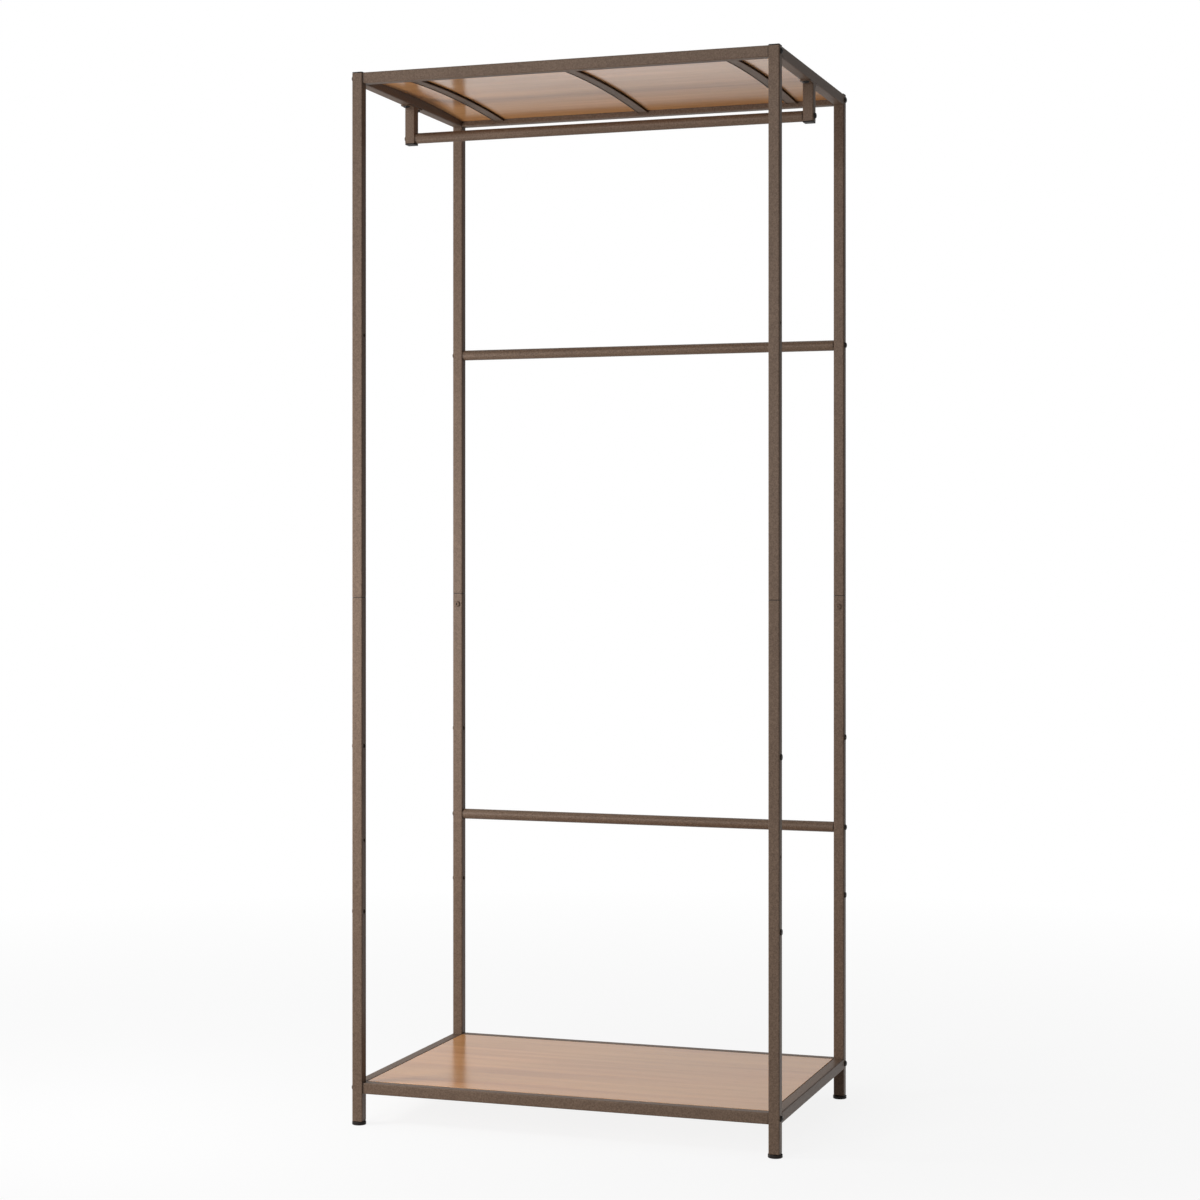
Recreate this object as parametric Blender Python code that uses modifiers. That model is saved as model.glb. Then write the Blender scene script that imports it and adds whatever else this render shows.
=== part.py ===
"""Freestanding clothes rack: a square-tube frame with two board shelves, a hanging rod and two back rods.

Metres, +Z up. The origin is on the floor, in the middle of the footprint. +X is the rack's right
and -Y is its front.
"""

import math

import bmesh
import bpy
from mathutils import Matrix, Vector

for leftover in list(bpy.data.objects):
    bpy.data.objects.remove(leftover, do_unlink=True)

# Overall size
overall_width = 0.762
overall_depth = 0.502
overall_height = 1.829

# Clearance between pieces that touch
contact_gap = 0.0003

# Square steel tube of the frame
tube_side = 0.019
tube_wall = 0.0012
tube_corner_radius = 0.002
tube_corner_steps = 2
round_profile_share = 0.5
hole_land = 0.0075

# Posts, each in two halves that meet at a seam
seam_height = 0.9164
spigot_reach = 0.040
spigot_overlap = 0.030
nut_plate_thickness = 0.004
cap_thickness = 0.0018
cap_skirt_depth = 0.0055
cap_skirt_wall = 0.0014
cap_skirt_root_share = 1 / 3
cap_edge_bevel = 0.0005

# Levelling feet
foot_pad_diameter = 0.0245
foot_pad_height = 0.006
foot_pad_bevel = 0.0010
foot_clearance = 0.0007
stem_diameter = 0.008
stem_length = 0.036
stem_chamfer = 0.0008
pad_socket_floor = 0.002

# Shelf frames
top_rail_drop = 0.001
bottom_rail_underside = 0.0545
rail_setback = 0.0025
rail_end_plate = 0.005

# Slats under the boards, those of the top shelf arched by their camber
slat_spacing = 0.285
slat_width = 0.019
slat_height = 0.0019
slat_sheet = 0.0009
slat_fold = 0.001
slat_camber = 0.0068
slat_weld = 0.0006
arch_strips = 9

# Thin boards
board_thickness = 0.0025
board_drop = 0.0002
board_gap = 0.001
board_edge_bevel = 0.0004

# Rods, the upper two measured down from the rack's top
rod_diameter = 0.019
rod_wall = 0.0012
rod_end_plate = 0.006
rod_facets = 24
hanging_rod_below_top = 0.078
upper_back_rod_below_top = 0.457
lower_back_rod_height = 0.494

# Brackets that carry the hanging rod
bracket_below_rod = 0.0095
bracket_flange_length = 0.066
bracket_flange_thickness = 0.002
bracket_flange_corner = 0.006
bracket_flange_steps = 3
bracket_weld_share = 0.5
bracket_screw_spacing = 0.050
bracket_plug_thickness = 0.0023
bracket_plug_bevel = 0.0008
bracket_plug_skirt_depth = 0.005
bracket_plug_root_share = 0.5

# Button-head screws
screw_diameter = 0.006
screw_head_diameter = 0.0105
screw_head_height = 0.0033
# The dome's outline from rim to crown: shares of the head's radius and of its height
screw_dome_shares = ((1, 0), (1, 0.28), (0.86, 0.70), (0.62, 1))
screw_socket_width = 0.004
screw_socket_depth = 0.0019
bracket_screw_head_diameter = 0.012
long_screw_length = 0.030
short_screw_length = 0.012
screw_tip_chamfer = 0.0006
screw_facets = 12
joint_screw_below_seam = 0.0205

# Threaded bosses behind thin walls
boss_diameter = 0.0095
boss_depth = 0.006
boss_root = 0.0005

# Spare accessory holes in the posts
lower_spare_height = 0.3706
upper_spare_height = 0.658
spare_hole_diameter = 0.008
spare_plug_diameter = 0.0105
spare_plug_top_diameter = 0.0085
spare_plug_height = 0.0022

hole_facets = 12
cut_margin = 0.002
merge_distance = 0.00005
pad_facets = 20
stem_facets = 16
smooth_angle = math.radians(35)

# Places worked out from the sizes above
half_turn = math.pi
quarter_turn = math.pi / 2
half_tube = tube_side / 2
bore_side = tube_side - 2 * tube_wall
spigot_side = bore_side - 2 * contact_gap
spigot_bore = spigot_side - 2 * tube_wall
screw_hole = screw_diameter + 2 * contact_gap
post_x = overall_width / 2 - half_tube
post_y = overall_depth / 2 - half_tube
post_bottom = foot_pad_height + foot_clearance
post_top = overall_height - cap_thickness - contact_gap
seam_below = seam_height - contact_gap / 2
joint_screw_height = seam_height - joint_screw_below_seam
hanging_rod_height = overall_height - hanging_rod_below_top
upper_back_rod_height = overall_height - upper_back_rod_below_top
top_rail_height = overall_height - top_rail_drop - half_tube
bottom_rail_height = bottom_rail_underside + half_tube
cross_rail_y = overall_depth / 2 - rail_setback - half_tube
cross_rail_length = overall_width - 2 * tube_side - 2 * contact_gap
side_rail_length = overall_depth - 2 * tube_side - 2 * contact_gap
rail_screw_offset = post_y - cross_rail_y
slat_length = 2 * (cross_rail_y - half_tube + slat_weld)
board_width = overall_width - 2 * tube_side - 2 * board_gap
board_depth = 2 * (cross_rail_y - half_tube - board_gap)
board_underside = half_tube - board_drop - board_thickness
slat_underside = board_underside - contact_gap - slat_height
rod_length = overall_width - 2 * tube_side - 2 * contact_gap
bracket_top = top_rail_height - half_tube - contact_gap
bracket_bottom = hanging_rod_height - bracket_below_rod

parts = bpy.data.collections.new("clothes_rack")
cutters = bpy.data.collections.new("cutters")
bpy.context.scene.collection.children.link(parts)
bpy.context.scene.collection.children.link(cutters)


def make_material(name, colour, roughness, metallic):
    material = bpy.data.materials.new(name)
    material.use_nodes = True
    shader = material.node_tree.nodes["Principled BSDF"]
    shader.inputs["Base Color"].default_value = (*colour, 1.0)
    shader.inputs["Roughness"].default_value = roughness
    shader.inputs["Metallic"].default_value = metallic
    return material


BRONZE = (0.150, 0.108, 0.078)
BAMBOO = (0.560, 0.370, 0.210)
BLACK = (0.018, 0.016, 0.015)
ZINC = (0.480, 0.480, 0.470)


def mesh_object(name, build):
    """An object in the cutters' collection whose mesh the given function fills."""
    mesh = bpy.data.meshes.new(name)
    bm = bmesh.new()
    build(bm)
    bmesh.ops.recalc_face_normals(bm, faces=bm.faces)
    bm.to_mesh(mesh)
    bm.free()
    obj = bpy.data.objects.new(name, mesh)
    obj.hide_render = True
    obj.display_type = "WIRE"
    cutters.objects.link(obj)
    return obj


def lands(*heights):
    """The heights of two edge loops round each hole, which keep the wall near it the same at any length."""
    return [height + side * hole_land for height in heights for side in (-1, 1)]


def bar(name, size_x, size_y, low, high, corner=0.0, steps=1, loops=()):
    """An upright bar centred on the Z axis, with its four long edges rounded and edge loops at some heights."""

    def build(bm):
        bmesh.ops.create_cube(bm, size=1.0)
        bmesh.ops.scale(bm, vec=(size_x, size_y, high - low), verts=bm.verts)
        bmesh.ops.translate(bm, vec=(0, 0, (low + high) / 2), verts=bm.verts)
        if corner:
            upright = [edge for edge in bm.edges if edge.verts[0].co.xy == edge.verts[1].co.xy]
            bmesh.ops.bevel(
                bm, geom=upright, offset=corner, segments=steps, profile=round_profile_share, affect="EDGES"
            )
        for height in loops:
            whole = bm.verts[:] + bm.edges[:] + bm.faces[:]
            bmesh.ops.bisect_plane(bm, geom=whole, plane_co=(0, 0, height), plane_no=(0, 0, 1))

    return mesh_object(name, build)


def cylinder(name, diameter, length, axis="Z", centre=(0, 0, 0), facets=hole_facets, top_diameter=None):
    """A cylinder or a frustum centred at a point, along one axis."""
    turn = {"X": Matrix.Rotation(quarter_turn, 4, "Y"), "Y": Matrix.Rotation(-quarter_turn, 4, "X")}

    def build(bm):
        top = diameter if top_diameter is None else top_diameter
        bmesh.ops.create_cone(
            bm, cap_ends=True, segments=facets, radius1=diameter / 2, radius2=top / 2, depth=length
        )
        if axis in turn:
            bmesh.ops.transform(bm, matrix=turn[axis], verts=bm.verts)
        bmesh.ops.translate(bm, vec=centre, verts=bm.verts)

    return mesh_object(name, build)


def turned(name, outline, steps, closed=False):
    """A turned piece: its outline at +X runs down the outer side and is spun about the Z axis."""

    def build(bm):
        points = [bm.verts.new((radius, 0, height)) for radius, height in outline]
        for first, second in zip(points, points[1:]):
            bm.edges.new((first, second))
        if closed:
            bm.edges.new((points[-1], points[0]))

    obj = mesh_object(name, build)
    spin = obj.modifiers.new("spin", "SCREW")
    spin.axis = "Z"
    spin.angle = 2 * math.pi
    spin.steps = steps
    spin.render_steps = steps
    spin.use_merge_vertices = True
    spin.merge_threshold = merge_distance
    return obj


def combine(target, other, operation):
    modifier = target.modifiers.new(operation.lower(), "BOOLEAN")
    modifier.operation = operation
    modifier.solver = "EXACT"
    modifier.object = other
    return target


def cut(target, *others):
    for other in others:
        combine(target, other, "DIFFERENCE")
    return target


def fuse(target, *others):
    for other in others:
        combine(target, other, "UNION")
    return target


def finished(source):
    """The evaluated mesh of a template, whose objects are then cleared away."""
    bpy.context.view_layer.update()
    graph = bpy.context.evaluated_depsgraph_get()
    mesh = bpy.data.meshes.new_from_object(source.evaluated_get(graph))
    mesh.shade_smooth()
    mesh.set_sharp_from_angle(angle=smooth_angle)
    for used in list(cutters.objects):
        bpy.data.objects.remove(used, do_unlink=True)
    return mesh


def place(name, mesh, location, look, rotation=(0, 0, 0), parent=None):
    """One named piece with its own material, placed by its location and rotation."""
    piece = bpy.data.objects.new(name, mesh.copy())
    colour, roughness, metallic = look
    piece.data.name = name
    piece.data.materials.clear()
    piece.data.materials.append(make_material(name, colour, roughness, metallic))
    piece.location = location
    piece.rotation_euler = rotation
    parts.objects.link(piece)
    if parent is not None:
        piece.parent = parent
        piece.location = Vector(location) - parent.location
    return piece


coat = (BRONZE, 0.45, 0.35)
laminate = (BAMBOO, 0.28, 0.0)
plastic = (BLACK, 0.50, 0.0)
black_steel = (BLACK, 0.38, 0.60)
plated_steel = (ZINC, 0.35, 0.90)


# Posts

def spare_plug(template, height, outward):
    """A push-in plug that closes a spare hole on the outer face, and the open hole on the inner face."""
    plug_length = spare_plug_height + tube_wall / 2
    plug = cylinder(
        "spare_plug",
        spare_plug_diameter if outward > 0 else spare_plug_top_diameter,
        plug_length,
        "X",
        (outward * (half_tube - tube_wall / 2 + plug_length / 2), 0, height),
        top_diameter=spare_plug_top_diameter if outward > 0 else spare_plug_diameter,
    )
    hole = cylinder(
        "spare_hole",
        spare_hole_diameter,
        half_tube,
        "X",
        (-outward * (half_tube / 2 + cut_margin + tube_wall), 0, height),
    )
    fuse(template, plug)
    cut(template, hole)


def lower_post_mesh(outward):
    """Lower half of a post. Its joint screw enters through the face at +Y."""
    heights = (bottom_rail_height, lower_spare_height, lower_back_rod_height, upper_spare_height, joint_screw_height)
    post = bar(
        "lower_post",
        tube_side,
        tube_side,
        post_bottom,
        seam_below,
        tube_corner_radius,
        tube_corner_steps,
        loops=lands(*heights),
    )
    bore_low = post_bottom + nut_plate_thickness
    cavity = bar("post_bore", bore_side, bore_side, bore_low, seam_below + cut_margin, loops=lands(*heights))
    stem_hole = cylinder(
        "stem_hole",
        stem_diameter + 2 * contact_gap,
        nut_plate_thickness + 2 * cut_margin,
        "Z",
        (0, 0, post_bottom + nut_plate_thickness / 2),
    )
    cross = tube_side + 2 * cut_margin
    rail_hole = cylinder("rail_hole", screw_hole, cross, "X", (0, 0, bottom_rail_height))
    rod_hole = cylinder("rod_hole", screw_hole, cross, "X", (0, 0, lower_back_rod_height))
    joint_hole = cylinder("joint_hole", screw_hole, half_tube, "Y", (0, half_tube, joint_screw_height))
    cut(post, cavity, stem_hole, rail_hole, rod_hole, joint_hole)
    spare_plug(post, lower_spare_height, outward)
    spare_plug(post, upper_spare_height, outward)
    return finished(post)


def upper_post_mesh():
    """Upper half of a post with the spigot that slides into the lower half. Its origin is on the seam."""
    rod_at = upper_back_rod_height - seam_height
    rail_at = top_rail_height - seam_height
    high = post_top - seam_height
    loops = [*lands(rod_at), rail_at - hole_land]
    post = bar(
        "upper_post",
        tube_side,
        tube_side,
        contact_gap / 2,
        high,
        tube_corner_radius,
        tube_corner_steps,
        loops=loops,
    )
    spigot = bar("spigot", spigot_side, spigot_side, -spigot_reach, spigot_overlap)
    bore_low = -spigot_reach - cut_margin
    spigot_bore_bar = bar("spigot_bore", spigot_bore, spigot_bore, bore_low, spigot_overlap + cut_margin)
    cavity = bar("post_bore", bore_side, bore_side, spigot_overlap, high + cut_margin, loops=loops)
    boss = cylinder(
        "joint_boss",
        boss_diameter,
        boss_depth + boss_root,
        "Y",
        (0, spigot_bore / 2 + boss_root - (boss_depth + boss_root) / 2, -joint_screw_below_seam),
    )
    joint_hole = cylinder("joint_hole", screw_hole, tube_side, "Y", (0, half_tube, -joint_screw_below_seam))
    cross = tube_side + 2 * cut_margin
    rail_hole = cylinder("rail_hole", screw_hole, cross, "X", (0, 0, rail_at))
    rod_hole = cylinder("rod_hole", screw_hole, cross, "X", (0, 0, rod_at))
    fuse(post, spigot)
    cut(post, spigot_bore_bar, cavity)
    fuse(post, boss)
    cut(post, joint_hole, rail_hole, rod_hole)
    return finished(post)


def button_screw_mesh(length, head_diameter):
    """A button-head screw along Z: the head's seat is at 0, its shank points to +Z."""
    shank = screw_diameter / 2
    head = head_diameter / 2
    outline = [
        (0, length),
        (shank - screw_tip_chamfer, length),
        (shank, length - screw_tip_chamfer),
        (shank, 0),
        *((head * across, -screw_head_height * along) for across, along in screw_dome_shares),
        (0, -screw_head_height),
    ]
    screw = turned("button_screw", outline, screw_facets)
    socket = cylinder(
        "hex_socket",
        screw_socket_width / math.cos(math.pi / 6),
        2 * screw_socket_depth,
        "Z",
        (0, 0, -screw_head_height),
        facets=6,
    )
    cut(screw, socket)
    return finished(screw)


def rod_mesh():
    """A round tube along Z with a threaded plate welded in each end."""
    radius = rod_diameter / 2
    half = rod_length / 2
    bore = radius - rod_wall
    hole = screw_hole / 2
    outline = [
        (hole, half),
        (radius, half),
        (radius, -half),
        (hole, -half),
        (hole, rod_end_plate - half),
        (bore, rod_end_plate - half),
        (bore, half - rod_end_plate),
        (hole, half - rod_end_plate),
    ]
    return finished(turned("rod", outline, rod_facets, closed=True))


def cap_mesh():
    """Flat cap on a post's top, with a hollow skirt inside the tube. Its origin is on its top face."""
    low = -cap_thickness
    plate = bar("cap", tube_side, tube_side, low, 0, tube_corner_radius, tube_corner_steps)
    edge = plate.modifiers.new("edge", "BEVEL")
    edge.width = cap_edge_bevel
    edge.segments = 1
    edge.limit_method = "ANGLE"
    edge.angle_limit = math.radians(60)
    skirt_low = low - cap_skirt_depth
    skirt_high = low + cap_thickness * cap_skirt_root_share
    skirt = bar("cap_skirt", spigot_side, spigot_side, skirt_low, skirt_high)
    hollow_side = spigot_side - 2 * cap_skirt_wall
    hollow = bar("cap_hollow", hollow_side, hollow_side, skirt_low - cut_margin, low)
    fuse(plate, skirt)
    cut(plate, hollow)
    return finished(plate)


def bracket_plug_mesh():
    """Rounded plug that closes the lower end of a bracket tube, where its origin is."""
    high = -contact_gap
    low = high - bracket_plug_thickness
    plate = bar("bracket_plug", tube_side, tube_side, low, high, tube_corner_radius, tube_corner_steps)
    edge = plate.modifiers.new("edge", "BEVEL")
    edge.width = bracket_plug_bevel
    edge.segments = 2
    edge.limit_method = "ANGLE"
    edge.angle_limit = math.radians(60)
    skirt_high = bracket_plug_skirt_depth
    skirt_low = high - bracket_plug_thickness * bracket_plug_root_share
    skirt = bar("plug_skirt", spigot_side, spigot_side, skirt_low, skirt_high)
    hollow_side = spigot_side - 2 * cap_skirt_wall
    hollow = bar("plug_hollow", hollow_side, hollow_side, high, skirt_high + cut_margin)
    fuse(plate, skirt)
    cut(plate, hollow)
    return finished(plate)


def foot_pad_mesh():
    """Round glide pad with a socket for its stem."""
    radius = foot_pad_diameter / 2
    socket = stem_diameter / 2 + contact_gap
    outline = [
        (0, pad_socket_floor),
        (socket, pad_socket_floor),
        (socket, foot_pad_height),
        (radius - foot_pad_bevel, foot_pad_height),
        (radius, foot_pad_height - foot_pad_bevel),
        (radius, foot_pad_bevel),
        (radius - foot_pad_bevel, 0),
        (0, 0),
    ]
    return finished(turned("foot_pad", outline, pad_facets))


def foot_stem_mesh():
    """Threaded stem of a levelling foot."""
    radius = stem_diameter / 2
    low = pad_socket_floor + contact_gap
    high = low + stem_length
    outline = [
        (0, high),
        (radius - stem_chamfer, high),
        (radius, high - stem_chamfer),
        (radius, low + stem_chamfer),
        (radius - stem_chamfer, low),
        (0, low),
    ]
    return finished(turned("foot_stem", outline, stem_facets))


def side_rail_mesh(with_bracket_holes):
    """Square tube along Z, one wall facing -X, to be laid along Y with that wall down."""
    half = side_rail_length / 2
    screw_at = bracket_screw_spacing / 2
    loops = lands(-screw_at, screw_at) if with_bracket_holes else ()
    rail = bar("side_rail", tube_side, tube_side, -half, half, tube_corner_radius, tube_corner_steps, loops)
    cavity = bar("rail_bore", bore_side, bore_side, -half - cut_margin, half + cut_margin, loops=loops)
    cut(rail, cavity)
    if with_bracket_holes:
        for side in (-1, 1):
            along = side * screw_at
            boss = cylinder(
                "bracket_boss",
                boss_diameter,
                boss_depth + boss_root,
                "X",
                (-bore_side / 2 - boss_root + (boss_depth + boss_root) / 2, 0, along),
            )
            hole = cylinder("bracket_hole", screw_hole, tube_side, "X", (-half_tube, 0, along))
            fuse(rail, boss)
            cut(rail, hole)
    return finished(rail)


def laid_along_x(obj):
    """Turns a template's mesh so that its Z axis lies along X."""
    obj.data.transform(Matrix.Rotation(quarter_turn, 4, "Y"))
    return obj


def arch_drop(along, camber):
    """How far an arch lies below its middle at a place along the slats. It is made of flat strips."""

    def station_drop(station):
        share = 2 * station / arch_strips - 1
        middle_share = 1 / arch_strips
        return camber * (share**2 - middle_share**2) / (1 - middle_share**2)

    place_along = (along + slat_length / 2) * arch_strips / slat_length
    before = min(max(math.floor(place_along), 0), arch_strips - 1)
    part_way = place_along - before
    return station_drop(before) * (1 - part_way) + station_drop(before + 1) * part_way


def bend(bm, camber):
    """Cuts a flat mesh across where the arch's strips meet, and lowers it onto the arch."""
    if not camber:
        return
    for station in range(1, arch_strips):
        joint = (station / arch_strips - 1 / 2) * slat_length
        whole = bm.verts[:] + bm.edges[:] + bm.faces[:]
        bmesh.ops.bisect_plane(bm, geom=whole, plane_co=(0, joint, 0), plane_no=(0, 1, 0))
    for vert in bm.verts:
        vert.co.z -= arch_drop(vert.co.y, camber)


def slat_object(centre_x, camber):
    """A folded steel slat whose lips face the board."""
    half = slat_length / 2
    across = slat_width / 2
    profile = [
        (-across, slat_height),
        (-across, slat_fold),
        (slat_fold - across, 0),
        (across - slat_fold, 0),
        (across, slat_fold),
        (across, slat_height),
    ]

    def build(bm):
        points = [bm.verts.new((centre_x + x, -half, slat_underside + z)) for x, z in profile]
        edges = [bm.edges.new(pair) for pair in zip(points, points[1:])]
        grown = bmesh.ops.extrude_edge_only(bm, edges=edges)["geom"]
        far_end = [item for item in grown if isinstance(item, bmesh.types.BMVert)]
        bmesh.ops.translate(bm, vec=(0, slat_length, 0), verts=far_end)
        bend(bm, camber)

    slat = mesh_object("slat", build)
    # The sheet's thickness goes inwards, so its faces have to look away from the slat's middle
    outwards = sum(face.normal.x * (face.center.x - centre_x) * face.area for face in slat.data.polygons)
    if outwards < 0:
        slat.data.flip_normals()
    sheet = slat.modifiers.new("sheet", "SOLIDIFY")
    sheet.thickness = slat_sheet
    sheet.offset = -1
    sheet.use_even_offset = True
    return slat


def shelf_frame_mesh(camber):
    """Front rail, back rail and three slats, welded together. Its origin is on the rails' mid-height."""
    half = cross_rail_length / 2
    frame = None
    for side in (-1, 1):
        rail = bar("cross_rail", tube_side, tube_side, -half, half, tube_corner_radius, tube_corner_steps)
        laid_along_x(rail)
        rail.data.transform(Matrix.Translation((0, side * cross_rail_y, 0)))
        inner = half - rail_end_plate
        cavity = laid_along_x(bar("rail_bore", bore_side, bore_side, -inner, inner))
        cavity.data.transform(Matrix.Translation((0, side * cross_rail_y, 0)))
        cut(rail, cavity)
        for end in (-1, 1):
            centre = (end * (half - rail_end_plate / 2), side * (cross_rail_y + rail_screw_offset), 0)
            cut(rail, cylinder("end_hole", screw_hole, rail_end_plate + 2 * cut_margin, "X", centre))
        if frame is None:
            frame = rail
        else:
            fuse(frame, rail)
    for index in (-1, 0, 1):
        fuse(frame, slat_object(index * slat_spacing, camber))
    return finished(frame)


def board_mesh(camber):
    """Laminated board that lies between the rails on the slats. Its origin is on the rails' mid-height."""

    def build(bm):
        bmesh.ops.create_cube(bm, size=1.0)
        bmesh.ops.scale(bm, vec=(board_width, board_depth, board_thickness), verts=bm.verts)
        bmesh.ops.translate(bm, vec=(0, 0, board_underside + board_thickness / 2), verts=bm.verts)
        bend(bm, camber)

    board = mesh_object("board", build)
    edge = board.modifiers.new("edge", "BEVEL")
    edge.width = board_edge_bevel
    edge.segments = 2
    return finished(board)


def bracket_mesh():
    """Hanging-rod bracket: a square tube welded into a flange plate. Its origin is on the flange's top."""
    flange_low = -bracket_flange_thickness
    tube_high = -bracket_flange_thickness * bracket_weld_share
    low = bracket_bottom - bracket_top
    tube = bar("bracket", tube_side, tube_side, low, tube_high, tube_corner_radius, tube_corner_steps)
    flange = bar(
        "flange",
        tube_side,
        bracket_flange_length,
        flange_low,
        0,
        bracket_flange_corner,
        bracket_flange_steps,
    )
    cavity = bar("bracket_bore", bore_side, bore_side, low - cut_margin, flange_low)
    rod_at = hanging_rod_height - bracket_top
    rod_hole = cylinder("rod_hole", screw_hole, tube_side + 2 * cut_margin, "X", (0, 0, rod_at))
    fuse(tube, flange)
    cut(tube, cavity, rod_hole)
    for side in (-1, 1):
        centre = (0, side * bracket_screw_spacing / 2, flange_low / 2)
        cut(tube, cylinder("flange_hole", screw_hole, bracket_flange_thickness + 2 * cut_margin, "Z", centre))
    return finished(tube)


# The four corners: their name, side in X, side in Y
corners = [
    ("front_left", -1, -1),
    ("front_right", 1, -1),
    ("back_left", -1, 1),
    ("back_right", 1, 1),
]

lower_meshes = {outward: lower_post_mesh(outward) for outward in (-1, 1)}
upper_mesh = upper_post_mesh()
cap = cap_mesh()
pad = foot_pad_mesh()
stem = foot_stem_mesh()
long_screw = button_screw_mesh(long_screw_length, screw_head_diameter)
short_screw = button_screw_mesh(short_screw_length, screw_head_diameter)
flange_screw = button_screw_mesh(short_screw_length, bracket_screw_head_diameter)
rod = rod_mesh()

for corner, side_x, side_y in corners:
    at = (side_x * post_x, side_y * post_y)
    # The joint screw's face looks into the rack: +Y on the front posts, -Y on the back ones
    turn = 0 if side_y < 0 else half_turn
    outward = side_x if side_y < 0 else -side_x
    place("lower_post_" + corner, lower_meshes[outward], (*at, 0), coat, (0, 0, turn))
    place("upper_post_" + corner, upper_mesh, (*at, seam_height), coat, (0, 0, turn))
    place("top_cap_" + corner, cap, (*at, overall_height), plastic)

    foot_axis = bpy.data.objects.new("foot_axis_" + corner, None)
    foot_axis.location = (*at, 0)
    parts.objects.link(foot_axis)
    place("foot_pad_" + corner, pad, (*at, 0), plastic, parent=foot_axis)
    place("foot_stem_" + corner, stem, (*at, 0), plated_steel, parent=foot_axis)

    joint_y = side_y * (post_y - half_tube)
    shank_turn = -quarter_turn if side_y > 0 else quarter_turn
    place(
        "joint_screw_" + corner,
        short_screw,
        (at[0], joint_y, joint_screw_height),
        coat,
        (shank_turn, 0, 0),
    )
    for level, height in (("top", top_rail_height), ("bottom", bottom_rail_height)):
        place(
            level + "_frame_screw_" + corner,
            long_screw,
            (side_x * overall_width / 2, at[1], height),
            black_steel,
            (0, -side_x * quarter_turn, 0),
        )

# Side rails between the posts
bracketed_rail = side_rail_mesh(True)
plain_rail = side_rail_mesh(False)
for side_name, side_x in (("left", -1), ("right", 1)):
    lie_down = (-quarter_turn, -quarter_turn, 0)
    place("top_side_rail_" + side_name, bracketed_rail, (side_x * post_x, 0, top_rail_height), coat, lie_down)
    place("bottom_side_rail_" + side_name, plain_rail, (side_x * post_x, 0, bottom_rail_height), coat, lie_down)

# Shelves: the top board bends over arched slats, the bottom one lies flat on straight ones
for level, height, camber in (("top", top_rail_height, slat_camber), ("bottom", bottom_rail_height, 0)):
    place(level + "_shelf_frame", shelf_frame_mesh(camber), (0, 0, height), coat)
    place(level + "_board", board_mesh(camber), (0, 0, height), laminate)

# Rods
rod_turn = (0, quarter_turn, 0)
place("hanging_rod", rod, (0, 0, hanging_rod_height), coat, rod_turn)
place("upper_back_rod", rod, (0, post_y, upper_back_rod_height), coat, rod_turn)
place("lower_back_rod", rod, (0, post_y, lower_back_rod_height), coat, rod_turn)

# Brackets, and the screws of the brackets and rods
bracket = bracket_mesh()
bracket_plug = bracket_plug_mesh()
for side_name, side_x in (("left", -1), ("right", 1)):
    inward = (0, -side_x * quarter_turn, 0)
    place("rod_bracket_" + side_name, bracket, (side_x * post_x, 0, bracket_top), coat)
    place("bracket_plug_" + side_name, bracket_plug, (side_x * post_x, 0, bracket_bottom), plastic)
    outer_face = side_x * overall_width / 2
    place("rod_screw_" + side_name, long_screw, (outer_face, 0, hanging_rod_height), black_steel, inward)
    for end_name, side_y in (("front", -1), ("back", 1)):
        under_flange = bracket_top - bracket_flange_thickness
        place(
            "bracket_screw_" + side_name + "_" + end_name,
            flange_screw,
            (side_x * post_x, side_y * bracket_screw_spacing / 2, under_flange),
            black_steel,
        )
    for rod_name, height in (("upper", upper_back_rod_height), ("lower", lower_back_rod_height)):
        place(
            rod_name + "_back_rod_screw_" + side_name,
            long_screw,
            (outer_face, post_y, height),
            black_steel,
            inward,
        )
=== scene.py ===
# %% [markdown]
# # A freestanding clothes rack
#
# This lesson dresses the engineering model of a clothes rack: a frame of square steel tube with a
# bronze-brown powder coat, two wood-look boards, a hanging rod under the top shelf and two rods
# across the back. Every size is in metres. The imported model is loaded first, as a fixed frame that
# says where each piece belongs, and each finer piece is then built in the same place.

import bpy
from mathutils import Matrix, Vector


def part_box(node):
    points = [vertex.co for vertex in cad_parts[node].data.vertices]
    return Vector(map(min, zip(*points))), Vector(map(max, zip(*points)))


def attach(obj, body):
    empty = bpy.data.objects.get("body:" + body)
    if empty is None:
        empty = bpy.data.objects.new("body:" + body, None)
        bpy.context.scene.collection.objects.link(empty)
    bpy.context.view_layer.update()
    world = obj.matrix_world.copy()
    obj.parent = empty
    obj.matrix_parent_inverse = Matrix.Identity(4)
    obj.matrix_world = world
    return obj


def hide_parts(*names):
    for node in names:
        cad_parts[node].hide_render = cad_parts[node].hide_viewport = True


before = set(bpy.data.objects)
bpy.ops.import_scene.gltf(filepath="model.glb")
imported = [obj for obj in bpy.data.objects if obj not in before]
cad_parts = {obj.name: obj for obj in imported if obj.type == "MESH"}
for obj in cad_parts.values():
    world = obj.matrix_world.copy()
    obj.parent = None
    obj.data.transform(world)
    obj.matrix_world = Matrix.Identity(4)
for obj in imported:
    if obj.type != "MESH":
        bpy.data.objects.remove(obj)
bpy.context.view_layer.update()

# %% Imports
import math

import bmesh
import bpy
from mathutils import Matrix, Vector

scene = bpy.context.scene
QUARTER_TURN = math.pi / 2
FULL_TURN = 2 * math.pi

# %% [markdown]
# ## The camera
#
# A tall rack looks right when its posts stay parallel, so the camera looks level and the lens is
# shifted instead of tilted. The place, the turn and the lens were worked out from straight edges of
# the frame: the posts' corners, the rails' ends and the rods. It comes first because every later
# choice is judged through it.

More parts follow.
